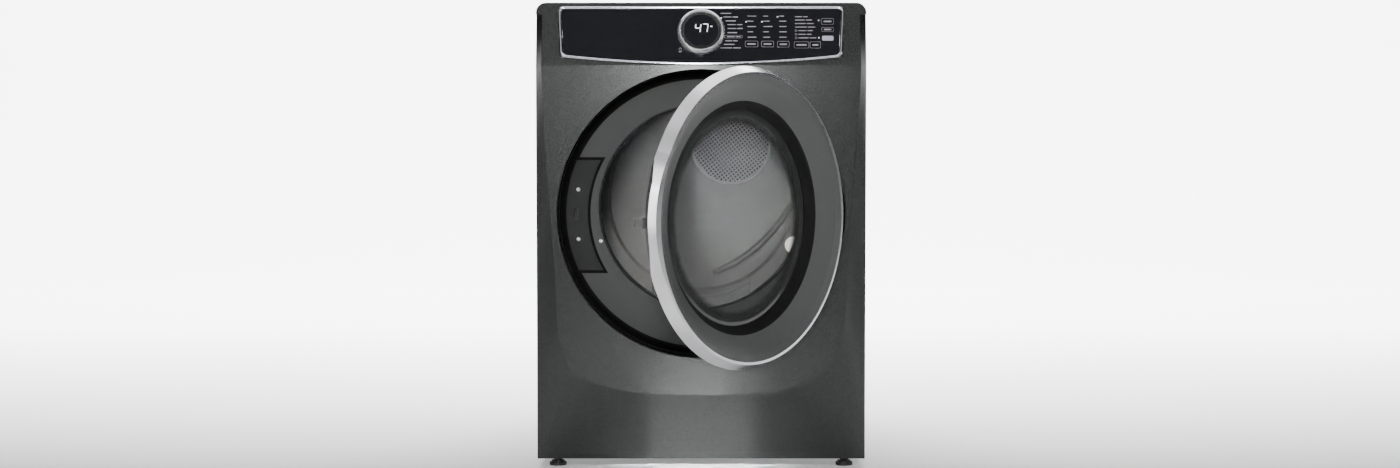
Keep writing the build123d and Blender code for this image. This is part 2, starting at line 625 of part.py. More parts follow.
def make_screws():
    """Pan-head screws of the latch plate, and one in the flat ring."""
    def screw(x, z, seat):
        shank, head = SCREW_SHANK_R, SCREW_HEAD_R
        body = lathe([(0, seat - 2.2), (head - 1.6, seat - 2.0), (head, seat - 0.8), (head, seat),
                      (shank, seat), (shank, seat + 7), (0, seat + 8)], x, z)
        return body - block(x - 0.5, x + 0.5, seat - 3, seat - 1.2, z - 2.4, z + 2.4)
    on_plate = [screw(x, z, WELL_DEPTH - LATCH_PROUD) for x, z in PLATE_SCREWS]
    return group(on_plate + [screw(*RING_SCREW, WELL_DEPTH)])


def make_latch_catch():
    """Spring catch behind the plate: a box with the strike's mouth and two ears on the well."""
    ring, x0, x1 = WELL_DEPTH, LATCH_X - 11, LATCH_X + 11
    catch = block(x0, x1, ring + 8, ring + 26, LATCH_Z - 20, LATCH_Z + 20)
    for low in (LATCH_Z - 20, LATCH_Z + 14.5):
        catch += block(x0, x1, ring + PRESSED + 0.1, ring + 8, low, low + 5.5)
    return catch - block(LATCH_X - SLOT_HALF_X, LATCH_X + SLOT_HALF_X, ring + 5, ring + 24,
                         LATCH_Z - SLOT_HALF_Z, LATCH_Z + SLOT_HALF_Z)


# ---------------------------------------------------------------- lint filter and its duct
def below_opening(half, low, radius):
    """Front view of what lies under the round opening, down to a level edge."""
    top = DRUM_Z - 100.0
    tall = Pos(0, (low + top) / 2) * Rectangle(2 * half, top - low)
    return tall - Pos(0, DRUM_Z) * Circle(radius)


def make_lint_filter():
    """Basket that drops into the throat's slot, with windowed walls and a lifting lip."""
    body = front_prism(below_opening(FILTER_HALF, FILTER_LOW, OPENING_R), FILTER_Y0, FILTER_Y1)
    lip = below_opening(FILTER_HALF - 12, 300.0, OPENING_R - FILTER_LIP)
    body += front_prism(lip, FILTER_Y1 - FILTER_FACE, FILTER_Y1)
    half, floor = FILTER_HALF - FILTER_WALL, FILTER_LOW + FILTER_WALL
    body -= block(-half, half, FILTER_Y0 + FILTER_WALL, FILTER_Y1 - FILTER_FACE, floor, DRUM_Z)
    for i in range(4):
        for k in range(2):
            x = (i - 1.5) * (SCREEN_WIDE + SCREEN_BAR)
            z = FILTER_LOW + 14 + k * (SCREEN_TALL + SCREEN_BAR)
            body -= block(x - SCREEN_WIDE / 2, x + SCREEN_WIDE / 2, FILTER_Y0 - CUT, FILTER_Y1 + CUT,
                          z, z + SCREEN_TALL)
    return body


def make_filter_duct():
    """Housing under the throat that leads the air down and across to the blower's inlet."""
    low, high = MOTOR_Z - DUCT_FOOT, MOTOR_Z + DUCT_FOOT

    def form(wall):
        y0, y1 = DUCT_Y0 + wall, DUCT_Y1 - wall
        tall = block(-DUCT_HALF + wall, DUCT_HALF - wall, y0, y1, low + wall, DRUM_Z - 145.0)
        foot = block(-DUCT_HALF + wall, MOTOR_X + MOTOR_R - wall, y0, y1, low + wall, high - wall)
        return tall + foot

    duct = form(0.0) - form(PRESSED)
    duct -= rod_y(OPENING_R + PRESSED + SEAT_GAP, 0, DUCT_Y1 + 100, 0, DRUM_Z)
    return duct - rod_y(BLOWER_INLET_R, DUCT_Y1 - 5, DUCT_Y1 + 5, MOTOR_X, MOTOR_Z)


# ---------------------------------------------------------------- drum
def make_drum():
    """Rolled steel drum: front collar, cone, shell with two pressed beads and a plain rear edge."""
    def skin(wall):
        r = DRUM_R - DRUM_WALL + wall
        line = [(COLLAR_R + wall, DRUM_FRONT), (COLLAR_R + wall, COLLAR_END), (r, CONE_END)]
        for y in BEAD_Y:
            top = r + BEAD_PROUD
            line += [(r, y - BEAD_HALF), (top, y - 6), (top, y + 6), (r, y + BEAD_HALF)]
        return line + [(r, DRUM_REAR)]
    return lathe(skin(0.0) + skin(DRUM_WALL)[::-1], 0, DRUM_Z)


def make_lifters():
    """Three open-backed vanes that lift the clothes, twisted a little along the drum."""
    seat_r = DRUM_R - DRUM_WALL - 0.1
    y0, y1 = CONE_END + LIFTER_INSET, DRUM_REAR - LIFTER_INSET
    stations = [(y0, LIFTER_DROP, -4.0), (y0 + 60, 0.0, -2.5), (y1 - 60, 0.0, 2.5), (y1, LIFTER_DROP, 4.0)]

    def section(y, drop, turn, wall):
        top = seat_r - LIFTER_HEIGHT + drop + wall
        base = seat_r - 0.6 + 3.0 * (wall > 0)
        half_base = LIFTER_ROOT / 2 - wall
        half_tip = LIFTER_TIP / 2 - wall
        face = make_face(Polyline((-half_base, -base), (half_base, -base), (half_tip, -top),
                                  (-half_tip, -top), close=True))
        return Rot(0, turn, 0) * (front_plane(y) * face)

    vane = loft([section(y, drop, turn, 0.0) for y, drop, turn in stations], ruled=True)
    vane = vane & rod_y(seat_r, y0 - CUT, y1 + CUT)
    inset = [LIFTER_WALL, 0.0, 0.0, -LIFTER_WALL]
    vane -= loft([section(y + dy, drop, turn, LIFTER_WALL)
                  for (y, drop, turn), dy in zip(stations, inset)], ruled=True)
    step = 360 / LIFTER_COUNT
    return group([Pos(0, 0, DRUM_Z) * Rot(0, LIFTER_ANGLE + step * i, 0) * vane for i in range(LIFTER_COUNT)])


def make_front_felt():
    """Felt ring between the throat and the drum's collar."""
    return ring_y(COLLAR_R - AIR_GAP, COLLAR_R - FELT_THICK, DRUM_FRONT + 1, DRUM_FRONT + 15, 0, DRUM_Z)


def make_rear_felt():
    """Felt ring on the rear bulkhead, inside the drum's rear edge."""
    r_out = DRUM_R - DRUM_WALL - AIR_GAP
    return ring_y(r_out, r_out - 10, DRUM_REAR - 14, BULKHEAD_Y, 0, DRUM_Z)


def grille_outline(grow):
    """Rounded shield: a circle with two shoulders above it."""
    circles = Sketch() + Pos(GRILLE_X, GRILLE_Z) * Circle(GRILLE_R + grow)
    for side in (-1, 1):
        centre = Pos(GRILLE_X + side * GRILLE_SHOULDER_X, GRILLE_Z + GRILLE_SHOULDER_Z)
        circles += centre * Circle(GRILLE_SHOULDER_R + grow)
    return make_hull(circles.edges())


def pressed_ridge():
    """Ridge that runs across the bulkhead on an arc, with round ends."""
    y = BULKHEAD_Y + RIDGE_SINK
    points = [Vector(x, y, DRUM_Z + z) for x, z in RIDGE_POINTS]
    path = ThreePointArc(*points)
    ridge = sweep(Plane(origin=path @ 0, z_dir=path % 0) * Circle(RIDGE_R), path=path)
    for end in (points[0], points[-1]):
        ridge += Pos(*end) * Sphere(RIDGE_R)
    return ridge


def make_rear_bulkhead():
    """Pressed rear wall of the drum with its step and ridge, the grille's opening and two axles."""
    y, t, r = BULKHEAD_Y, BULKHEAD_SHEET, STEP_R
    back = y + STEP_DEPTH
    plate = lathe([(BULKHEAD_R, y), (BULKHEAD_R, y + t), (r, y + t), (r - 7, back + t), (0, back + t),
                   (0, back), (r - 6, back), (r + 1, y)], 0, DRUM_Z)
    plate += pressed_ridge()
    plate -= front_prism(grille_outline(SEAT_GAP), y - 2, y + 12)
    plate -= rod_y(LAMP_R - 3, y - 6, y + 6, LAMP_X, LAMP_Z)
    for x, z in roller_centres():
        plate += block(x - 24, x + 24, y, y + t, z - ROLLER_R, z + 24)
        plate += rod_y(AXLE_R + 4, ROLLER_Y1 + AIR_GAP, y + 0.5, x, z)
        plate += rod_y(AXLE_R, ROLLER_Y0 - 5, y, x, z)
    low = FOOT_HEIGHT + PAN_WALL + SEAT_GAP
    outer = HALF - 21
    inner = min(outer - 44, BULKHEAD_R - 58)
    for side in (-1, 1):
        x0, x1 = sorted((side * inner, side * outer))
        plate += block(x0, x1, y, y + t, low, DRUM_Z)
    plate += block(-outer, outer, y, y + t, low, FOOT_HEIGHT + 150)
    return plate - rod_y(EXHAUST_R + 1.5, y - 2, y + 4, EXHAUST_X, EXHAUST_Z)


def roller_centres():
    """Both rollers touch the drum from below, one each side."""
    reach = DRUM_R + ROLLER_R + AIR_GAP
    angle = radians(ROLLER_ANGLE)
    return [(side * reach * sin(angle), DRUM_Z - reach * cos(angle)) for side in (-1, 1)]


def make_roller(x, z):
    """Nylon roller with a tyre, a web and a hub, running on its axle."""
    tyre = ring_y(ROLLER_R, ROLLER_R - 7, ROLLER_Y0, ROLLER_Y1, x, z)
    web = ring_y(ROLLER_R - 6, AXLE_R + 3, ROLLER_Y0 + 9, ROLLER_Y1 - 9, x, z)
    hub = ring_y(AXLE_R + 4, AXLE_R + RUN_GAP, ROLLER_Y0, ROLLER_Y1, x, z)
    return tyre + web + hub


def make_inlet_grille():
    """Perforated cover of the hot-air inlet: a field of diamond holes inside a plain rim."""
    plate = front_prism(grille_outline(GRILLE_RIM), BULKHEAD_Y - GRILLE_WALL, BULKHEAD_Y)
    collar = grille_outline(0.0) - grille_outline(-GRILLE_WALL)
    plate += front_prism(collar, BULKHEAD_Y - 0.5, BULKHEAD_Y + 10)
    limit = grille_outline(-10.0).faces()[0]
    step = GRILLE_PITCH / 2
    span = int((GRILLE_R + GRILLE_SHOULDER_R) / step)
    cells = [(i, j) for j in range(-span, span + 1) for i in range(-span, span + 1) if (i + j) % 2 == 0]
    spots = [(GRILLE_X + i * step, GRILLE_Z + j * step) for i, j in cells]
    diamond = Rot(0, 0, 45) * Rectangle(GRILLE_HOLE, GRILLE_HOLE)
    cutters = [front_prism(Pos(x, z) * diamond, BULKHEAD_Y - 3, BULKHEAD_Y + 2)
               for x, z in spots if limit.is_inside(Vector(x, z, 0))]
    return plate - cutters


def make_lamp_lens():
    """Domed lens of the drum lamp."""
    r, neck = LAMP_R, LAMP_R - 3.3
    profile = [(0, -7), (8, -6.2), (14, -4.0), (r - 2, -1.2), (r, 0), (neck, 0), (neck, 6),
               (neck - 1.7, 6), (neck - 1.7, -0.5), (0, -5)]
    return lathe([(radius, BULKHEAD_Y + y) for radius, y in profile], LAMP_X, LAMP_Z)


def make_heater_box():
    """Sheet duct behind the grille, open in front of it and at its foot."""
    t = HEATER_SHEET
    box = block(HEATER_X0, HEATER_X1, HEATER_Y0, HEATER_Y1, HEATER_Z0, HEATER_Z1)
    box -= block(HEATER_X0 + t, HEATER_X1 - t, HEATER_Y0 + t, HEATER_Y1 - t, HEATER_Z0 - CUT, HEATER_Z1 - t)
    return box - front_prism(grille_outline(-GRILLE_WALL), HEATER_Y0 - CUT, HEATER_Y0 + 2)


def make_heating_coil():
    """Rows of heating coil joined end to end, with two terminals to the box's side."""
    y = (HEATER_Y0 + HEATER_Y1) / 2
    x0, x1 = HEATER_X0 + 22, HEATER_X1 - 22
    rows = [HEATER_Z0 + 40 + COIL_PITCH * i for i in range(COIL_ROWS)]

    def rod_x(r, start, end, z):
        return Pos((start + end) / 2, y, z) * Rot(0, 90, 0) * Cylinder(r, end - start)

    bars = [rod_x(COIL_R, x0, x1, z) for z in rows]
    links = [rod_z(COIL_WIRE_R, rows[i], rows[i + 1], x0 + 3 if i % 2 else x1 - 3, y)
             for i in range(COIL_ROWS - 1)]
    leads = [rod_x(COIL_WIRE_R, HEATER_X0 + HEATER_SHEET, x0 + 1, z) for z in (rows[0], rows[-1])]
    return bars[0] + bars[1:] + links + leads


# ---------------------------------------------------------------- drive
def make_motor():
    """Motor with finned end bells, a terminal box and a bearing bore; solid inside."""
    body = rod_y(MOTOR_R, MOTOR_Y0 + 14, MOTOR_Y1 - 14, MOTOR_X, MOTOR_Z)
    body += rod_y(MOTOR_R - 8, MOTOR_Y0, MOTOR_Y1, MOTOR_X, MOTOR_Z)
    fin = block(MOTOR_R - 12, MOTOR_R - 5, MOTOR_Y0 + 4, MOTOR_Y1 - 4, -2, 2)
    for i in range(MOTOR_FINS):
        body += Pos(MOTOR_X, 0, MOTOR_Z) * Rot(0, 360 * i / MOTOR_FINS, 0) * fin
    body += block(MOTOR_X - 26, MOTOR_X + 26, MOTOR_Y0 + 40, MOTOR_Y1 - 40, MOTOR_Z + MOTOR_R - 8,
                  MOTOR_Z + MOTOR_R + 14)
    return body - rod_y(SHAFT_R + RUN_GAP, MOTOR_Y0 - CUT, MOTOR_Y1 + CUT, MOTOR_X, MOTOR_Z)


def make_rotor():
    """Motor shaft with the belt pulley on its rear end."""
    half = BELT_WIDTH / 2
    rotor = rod_y(SHAFT_R, BLOWER_Y0 + 8, BELT_Y + half + 6, MOTOR_X, MOTOR_Z)
    rotor += rod_y(PULLEY_R, BELT_Y - half - 4, BELT_Y + half + 4, MOTOR_X, MOTOR_Z)
    for y in (BELT_Y - half - 4, BELT_Y + half + 1):
        rotor += rod_y(PULLEY_R + FLANGE, y, y + 3, MOTOR_X, MOTOR_Z)
    return rotor


def make_blower_wheel():
    """Squirrel-cage wheel: back plate with a hub, a ring of vanes and a front ring."""
    y0, y1 = BLOWER_Y0 + 7, BLOWER_Y1 - 7
    wheel = rod_y(BLOWER_R, y1 - 2.5, y1) + rod_y(SHAFT_R + 8, y0 + 12, y1)
    wheel += ring_y(BLOWER_R, BLOWER_R - 20, y0, y0 + 2.5)
    vane = Pos(BLOWER_R - 11, (y0 + y1) / 2, 0) * Rot(0, 28, 0) * Box(18, y1 - y0 - 2, 1.6)
    for i in range(BLADES):
        wheel += Rot(0, 360 * i / BLADES, 0) * vane
    return Pos(MOTOR_X, 0, MOTOR_Z) * (wheel - rod_y(SHAFT_R, y0 - CUT, y1 + CUT))


def make_blower_housing():
    """Scroll round the wheel, with its inlet in front and its outlet to the exhaust pipe."""
    left = EXHAUST_X - EXHAUST_R - 4

    def form(wall):
        scroll = Pos(MOTOR_X, MOTOR_Z) * Circle(BLOWER_CASE_R - wall)
        outlet = Rectangle(MOTOR_X - left - wall, 2 * (OUTLET_HALF - wall), align=(Align.MIN, Align.CENTER))
        scroll += Pos(left + wall, EXHAUST_Z) * outlet
        return front_prism(scroll, BLOWER_Y0 + wall, BLOWER_Y1 - wall)

    case = form(0.0)
    for x in (MOTOR_X - 60, MOTOR_X + 60):
        case += block(x - 8, x + 8, BLOWER_Y0 + 10, BLOWER_Y1 - 10, FOOT_HEIGHT + 3.6, MOTOR_Z - 68)
    case -= form(BLOWER_WALL)
    case -= rod_y(BLOWER_INLET_R, BLOWER_Y0 - 5, BLOWER_Y0 + 5, MOTOR_X, MOTOR_Z)
    case -= rod_y(SHAFT_R + 3, BLOWER_Y1 - 5, BLOWER_Y1 + 5, MOTOR_X, MOTOR_Z)
    return case - rod_y(EXHAUST_R - EXHAUST_WALL, BLOWER_Y1 - 5, BLOWER_Y1 + 5, EXHAUST_X, EXHAUST_Z)


def make_exhaust_pipe():
    """Exhaust pipe from the blower to its collar behind the rear panel, with one rolled bead."""
    end, bead = DEPTH + EXHAUST_REACH, DEPTH - 6
    r0, r1 = EXHAUST_R - EXHAUST_WALL, EXHAUST_R
    return lathe([(r0, BLOWER_Y1), (r1, BLOWER_Y1), (r1, bead - 6), (r1 + 2.5, bead - 2),
                  (r1 + 2.5, bead + 2), (r1, bead + 6), (r1, end), (r0, end)], EXHAUST_X, EXHAUST_Z)


def tangent(centre_a, r_a, centre_b, r_b):
    """Ends of the line that leaves circle a and meets circle b; radii are signed to the line's side."""
    dx, dz = centre_b[0] - centre_a[0], centre_b[1] - centre_a[1]
    along = atan2(dz, dx)
    across = along + acos((r_a - r_b) / hypot(dx, dz))
    n = (cos(across), sin(across))
    return ((centre_a[0] + r_a * n[0], centre_a[1] + r_a * n[1]),
            (centre_b[0] + r_b * n[0], centre_b[1] + r_b * n[1]))


def belt_loop(offset):
    """Belt outline round the drum and the motor pulley, pressed inwards by the idler."""
    drum, motor, idler = (0.0, DRUM_Z), (MOTOR_X, MOTOR_Z), (IDLER_X, IDLER_Z)
    r_drum = DRUM_R + AIR_GAP + offset
    r_motor = PULLEY_R + AIR_GAP + offset
    r_idler = -(IDLER_R + AIR_GAP + BELT_THICK - offset)
    a0, a1 = tangent(motor, r_motor, idler, r_idler)
    b0, b1 = tangent(idler, r_idler, drum, r_drum)
    c0, c1 = tangent(drum, r_drum, motor, r_motor)
    if a0[1] > motor[1] + 8:
        raise ValueError("belt leaves the pulley on the wrong side")

    def arc(centre, start, end, way):
        r = hypot(start[0] - centre[0], start[1] - centre[1])
        s = atan2(start[1] - centre[1], start[0] - centre[0])
        e = atan2(end[1] - centre[1], end[0] - centre[0])
        turn = (e - s) % (2 * pi) if way > 0 else -((s - e) % (2 * pi))
        mid = s + turn / 2
        return ThreePointArc(start, (centre[0] + r * cos(mid), centre[1] + r * sin(mid)), end)
    edges = [Line(a0, a1), arc(idler, a1, b0, 1), Line(b0, b1), arc(drum, b1, c0, -1),
             Line(c0, c1), arc(motor, c1, a0, -1)]
    return make_face(Curve() + edges)


def make_belt():
    """Flat belt round drum and pulley."""
    half = BELT_WIDTH / 2 - 0.5
    return front_prism(belt_loop(BELT_THICK) - belt_loop(0.0), BELT_Y - half, BELT_Y + half)


def make_idler_arm():
    """Pressed arm with a bored boss, the idler's axle and the pin that holds the spring."""
    angle = degrees(atan2(IDLER_Z - ARM_PIVOT_Z, IDLER_X - ARM_PIVOT_X))
    length = hypot(IDLER_X - ARM_PIVOT_X, IDLER_Z - ARM_PIVOT_Z)
    face = Pos(length / 2, 0) * Rectangle(length, 14) + Circle(ARM_BOSS_R + 2)
    face += Pos(length, 0) * Circle(ARM_BOSS_R)
    arm = front_prism(Pos(ARM_PIVOT_X, ARM_PIVOT_Z) * Rot(0, 0, angle) * face, ARM_Y, ARM_Y + ARM_THICK)
    arm += rod_y(ARM_BOSS_R, ARM_Y, ARM_Y + ARM_BOSS, ARM_PIVOT_X, ARM_PIVOT_Z)
    arm += rod_y(IDLER_AXLE_R, ARM_Y, BELT_Y + BELT_WIDTH / 2 + 3, IDLER_X, IDLER_Z)
    x, z = spring_pin()
    arm += rod_y(SPRING_PIN_R, ARM_Y, ARM_Y + 12, x, z)
    return arm - rod_y(ARM_PIN_R + RUN_GAP, ARM_Y - CUT, ARM_Y + ARM_BOSS + CUT, ARM_PIVOT_X, ARM_PIVOT_Z)


def spring_pin():
    """Place of the arm's spring pin, on the arm's centre line at the spring's height."""
    share = (SPRING_Z - ARM_PIVOT_Z) / (IDLER_Z - ARM_PIVOT_Z)
    return ARM_PIVOT_X + share * (IDLER_X - ARM_PIVOT_X), SPRING_Z


def make_idler_pulley():
    """Flat idler pulley with two recessed faces, on the arm's axle."""
    half = BELT_WIDTH / 2 + 1
    wheel = rod_y(IDLER_R, BELT_Y - half, BELT_Y + half, IDLER_X, IDLER_Z)
    for y in (BELT_Y - half - 1, BELT_Y + half - 6):
        wheel -= ring_y(IDLER_R - 4, 9, y, y + 7, IDLER_X, IDLER_Z)
    wheel += rod_y(7, ARM_Y + ARM_THICK + AIR_GAP, BELT_Y + half, IDLER_X, IDLER_Z)
    return wheel - rod_y(IDLER_AXLE_R + RUN_GAP, ARM_Y, BELT_Y + half + CUT, IDLER_X, IDLER_Z)


def make_idler_spring():
    """Tension spring from the arm's pin to the base's bracket."""
    x0 = spring_pin()[0] + SPRING_PIN_R
    x1 = SPRING_POST_X
    y = ARM_Y + ARM_BOSS
    length = SPRING_TURNS * SPRING_PITCH
    start = (x0 + x1 - length) / 2
    coil = Pos(start, y, SPRING_Z) * Rot(0, 90, 0) * Edge.make_helix(SPRING_PITCH, length, SPRING_R)
    tube = sweep(Plane(origin=coil @ 0, z_dir=coil % 0) * RegularPolygon(SPRING_WIRE, 6), path=coil)
    arm = 0.7 * SPRING_WIRE
    for hook, end in ((x0, start), (x1, start + length)):
        low, high = min(hook, end), max(hook, end)
        tube += rod_z(arm, SPRING_Z - SPRING_R, SPRING_Z + arm, end, y)
        tube += Pos((low + high) / 2, y, SPRING_Z) * Rot(0, 90, 0) * Cylinder(SPRING_WIRE, high - low)
    return tube


# ---------------------------------------------------------------- rear and feet
def make_rear_panel():
    """Rear panel with a round pressed dome, louvre slots and the exhaust hole."""
    half, inner, outer = HALF - STEEL - SEAT_GAP, DEPTH - STEEL, DEPTH + DOME_PROUD
    panel = block(-half, half, inner, DEPTH, FOOT_HEIGHT + 1.0, CABINET_TOP - STEEL)
    panel -= rod_y(DOME_R, DEPTH - 5, DEPTH + 5, 0, DOME_Z)
    panel += lathe([(DOME_R + 2, inner), (DOME_R + 2, DEPTH), (DOME_R - 10, outer), (0, outer),
                    (0, outer - STEEL), (DOME_R - 11, outer - STEEL), (DOME_R, inner)], 0, DOME_Z)
    for i in range(LOUVRES):
        z = FOOT_HEIGHT + 72 + i * LOUVRE_PITCH
        panel -= block(half - 191.6, half - 51.6, DEPTH - 5, DEPTH + 5, z, z + LOUVRE_HEIGHT)
    return panel - rod_y(EXHAUST_R + 1.0, DEPTH - 5, DEPTH + 5, EXHAUST_X, EXHAUST_Z)


def make_terminal_cover():
    """Cover over the supply terminals, with its empty strain-relief hole underneath."""
    cover = block(COVER_X0, COVER_X1, DEPTH, DEPTH + COVER_REACH, COVER_Z0, COVER_Z1)
    cover = chamfer(cover.edges().filter_by(Axis.X).sort_by(Axis.Y)[-2:], 8)
    cover -= block(COVER_X0 + 1.5, COVER_X1 - 1.5, DEPTH - CUT, DEPTH + COVER_REACH - 8,
                   COVER_Z0 + 9, COVER_Z1 - 9)
    return cover - rod_z(GLAND_R, COVER_Z0 - 2, COVER_Z0 + 12, (COVER_X0 + COVER_X1) / 2, GLAND_Y)


def make_foot(x, y):
    """Levelling foot: stepped pad, hexagon and stud."""
    foot = rod_z(FOOT_R, 0, 6, x, y) + rod_z(FOOT_R - 4, 5, 10, x, y)
    foot += Pos(x, y, 10) * extrude(RegularPolygon(FOOT_R / 2, 6), FOOT_HEIGHT - 10 - AIR_GAP)
    return foot + rod_z(FOOT_STUD_R, 5, FOOT_STUD_TOP, x, y)


# ---------------------------------------------------------------- door, modelled closed
def door_form(inset):
    """Full body of the door ring: a flared disc, and a second one that swells out as the grip."""
    y0, y1 = DOOR_BACK, DOOR_BACK - DOOR_THICK
    reach = DOOR_R + GRIP_PROUD
    edge = sqrt(DOOR_R ** 2 - GRIP_HALF ** 2)
    lag = reach - edge
    r_grip = (GRIP_HALF ** 2 + lag ** 2) / (2 * lag)
    back = y0 + (1.0 if inset else 0.0)
    flare = (DOOR_R - DOOR_FACE_R) / DOOR_THICK * inset
    def disc(r):
        face = r - (DOOR_R - DOOR_FACE_R) - inset
        return lathe([(0, back), (r - inset, back), (face + flare, y1 + inset), (0, y1 + inset)])
    return Pos(0, 0, WELL_Z) * (disc(DOOR_R) + Pos(r_grip - reach, 0, 0) * disc(r_grip))


def hinge_notch(grow):
    """Space that the two lugs need round the hinge axis."""
    notch = None
    for side in (-1, 1):
        z = WELL_Z + side * (LUG_Z + LUG_THICK / 2)
        half = LUG_THICK / 2 + grow
        cut = rod_z(LUG_NOTCH_R + grow, z - half, z + half, HINGE_X, HINGE_Y)
        cut += block(HINGE_X - 7.0 - grow, HINGE_X + 40, HINGE_Y - 8.0, DOOR_BACK + 5, z - half, z + half)
        notch = cut if notch is None else notch + cut
    return notch


def make_door_ring():
    """Chrome ring: flared shell with a front lip, a swelling grip and notches for the hinge lugs."""
    ring = door_form(0.0) - door_form(RING_WALL)
    ring -= rod_y(DOOR_FACE_R - RING_LIP, -60, 10, 0, WELL_Z)
    ring -= ring_y(DOOR_R + 60, WELL_R - 1.0, DOOR_BACK - FINGER_GAP, DOOR_BACK + 5, 0, WELL_Z)
    return ring - hinge_notch(NOTCH_GAP)


def make_door_dish():
    """Dark dish from the ring down to the window, with the recess wall round the glass."""
    front = DOOR_BACK - DOOR_THICK + RING_WALL
    r = DOOR_FACE_R - RING_WALL - 0.6
    face = [(r, front), (r - 14, front + 5), (r - 30, front + 14), (DISH_EDGE_R + 6, DISH_EDGE_Y - 4),
            (DISH_EDGE_R, DISH_EDGE_Y), (GLASS_R - 3, GLASS_Y - GLASS_WALL - 2),
            (GLASS_R - 3, GLASS_Y - GLASS_WALL)]
    back = [(GLASS_R + 2, GLASS_Y - GLASS_WALL), (DISH_EDGE_R + 3, DISH_EDGE_Y + 2.5), (r - 30, front + 18),
            (r - 14, front + 9), (r, front + 6)]
    dish = lathe(face + back, 0, WELL_Z)
    dish -= rod_z(BARREL_R + 2 * AIR_GAP, WELL_Z - LUG_Z, WELL_Z + LUG_Z, HINGE_X, HINGE_Y)
    return dish - hinge_notch(NOTCH_GAP)


def make_door_glass():
    """Window glass: a shallow bowl that bulges towards the drum."""
    rim = GLASS_Y - GLASS_WALL
    outer = [(GLASS_R, rim), (GLASS_R, GLASS_Y), (GLASS_R - 10, GLASS_Y)]
    steps = 4
    r0 = GLASS_R - 10
    shares = [1 - i / steps for i in range(1, steps + 1)]
    far = [(r0 * share, GLASS_Y + GLASS_BULGE * (1 - share ** 2)) for share in shares]
    near = [(r, y - GLASS_WALL) for r, y in reversed([(r0, GLASS_Y)] + far)]
    return lathe(outer + far + near, 0, WELL_Z)


def make_inner_frame():
    """Moulded inner frame: hat-shaped ring that clamps the glass and closes the door's back."""
    rim, back = DOOR_R - RING_WALL - 1.0, DOOR_BACK + 3
    hat = lathe([(rim, back - 2.5), (rim, back), (FRAME_R, back), (FRAME_R - 6, FRAME_Y),
                 (GLASS_R - 8, FRAME_Y), (GLASS_R - 8, GLASS_Y + AIR_GAP), (GLASS_R + 0.5, GLASS_Y + AIR_GAP),
                 (GLASS_R + 0.5, GLASS_Y - 2), (GLASS_R + 5, GLASS_Y - 2),
                 (GLASS_R + 5, FRAME_Y - 2.5), (FRAME_R - 8.5, FRAME_Y - 2.5), (FRAME_R - 3, back - 2.5)],
                0, WELL_Z)
    hat -= block(-DOOR_R - 5, -FRAME_R - 4, DOOR_BACK - 2, DOOR_BACK + 6, WELL_Z - 84, WELL_Z + 84)
    return hat - hinge_notch(NOTCH_GAP)


def make_door_seal():
    """Soft lip seal on the inner frame's back."""
    y0, y1 = FRAME_Y, WELL_DEPTH - AIR_GAP
    r, half = SEAL_R, SEAL_WIDTH / 2
    return lathe([(r - half, y0), (r + half, y0), (r + half - 1, y1 - 3), (r + 0.5, y1),
                  (r - half + 2, y1 - 3)], 0, WELL_Z)


def make_strike():
    """Hooked strike that enters the latch."""
    x0, x1, end = LATCH_X - 1.5, LATCH_X + 1.5, WELL_DEPTH + STRIKE_REACH
    z0, z1 = LATCH_Z - STRIKE_HALF, LATCH_Z + STRIKE_HALF
    strike = block(x0, x1, FRAME_Y, end, z0, z1)
    strike += block(x0 - 2, x1, end - 5, end, z0, z1)
    return strike + block(x0, LATCH_X + 12, FRAME_Y, FRAME_Y + 2, z0 - 3, z1 + 3)


def make_hinge_leaf():
    """Door's hinge leaf: a plate inside the ring, a barrel between the lugs, and the pin."""
    span = LUG_Z - AIR_GAP
    barrel = rod_z(BARREL_R, WELL_Z - span, WELL_Z + span, HINGE_X, HINGE_Y)
    barrel += block(HINGE_X - 4, HINGE_X, HINGE_Y + 3, HINGE_Y + 8.2, WELL_Z - span + 2, WELL_Z + span - 2)
    pin = rod_z(PIN_R, WELL_Z - LUG_Z - LUG_THICK - 4, WELL_Z + LUG_Z + LUG_THICK + 4, HINGE_X, HINGE_Y)
    plate = block(HINGE_X - 14, HINGE_X, HINGE_Y + 5.7, HINGE_Y + 8.2, WELL_Z - span + 2, WELL_Z + span - 2)
    return barrel + pin + plate


def make_hinge_bracket():
    """Fixed bracket in the well: a base plate on the flat ring and two curved lugs to the pin."""
    base = None
    for side in (-1, 1):
        z = WELL_Z + side * (LUG_Z + LUG_THICK / 2)
        half = LUG_THICK / 2
        lug = rod_z(BARREL_R, z - half, z + half, HINGE_X, HINGE_Y)
        lug += block(HINGE_X - 4, HINGE_X + 6, HINGE_Y, WELL_DEPTH, z - half, z + half)
        lug -= rod_z(PIN_R + RUN_GAP, z - half - 1, z + half + 1, HINGE_X, HINGE_Y)
        base = lug if base is None else base + lug
    reach = LUG_Z + 14
    pad = block(HINGE_X - 10, HINGE_X + 6, WELL_DEPTH - 3, WELL_DEPTH, WELL_Z - reach, WELL_Z + reach)
    pad &= rod_y(WELL_R - GROOVE - 1, 0, 60, 0, WELL_Z)
    return base + pad


def opened(shape):
    """Swing a door piece from closed to the pose in which the dryer is stored."""
    return Pos(HINGE_X, HINGE_Y, 0) * Rot(0, 0, DOOR_OPEN) * Pos(-HINGE_X, -HINGE_Y, 0) * shape


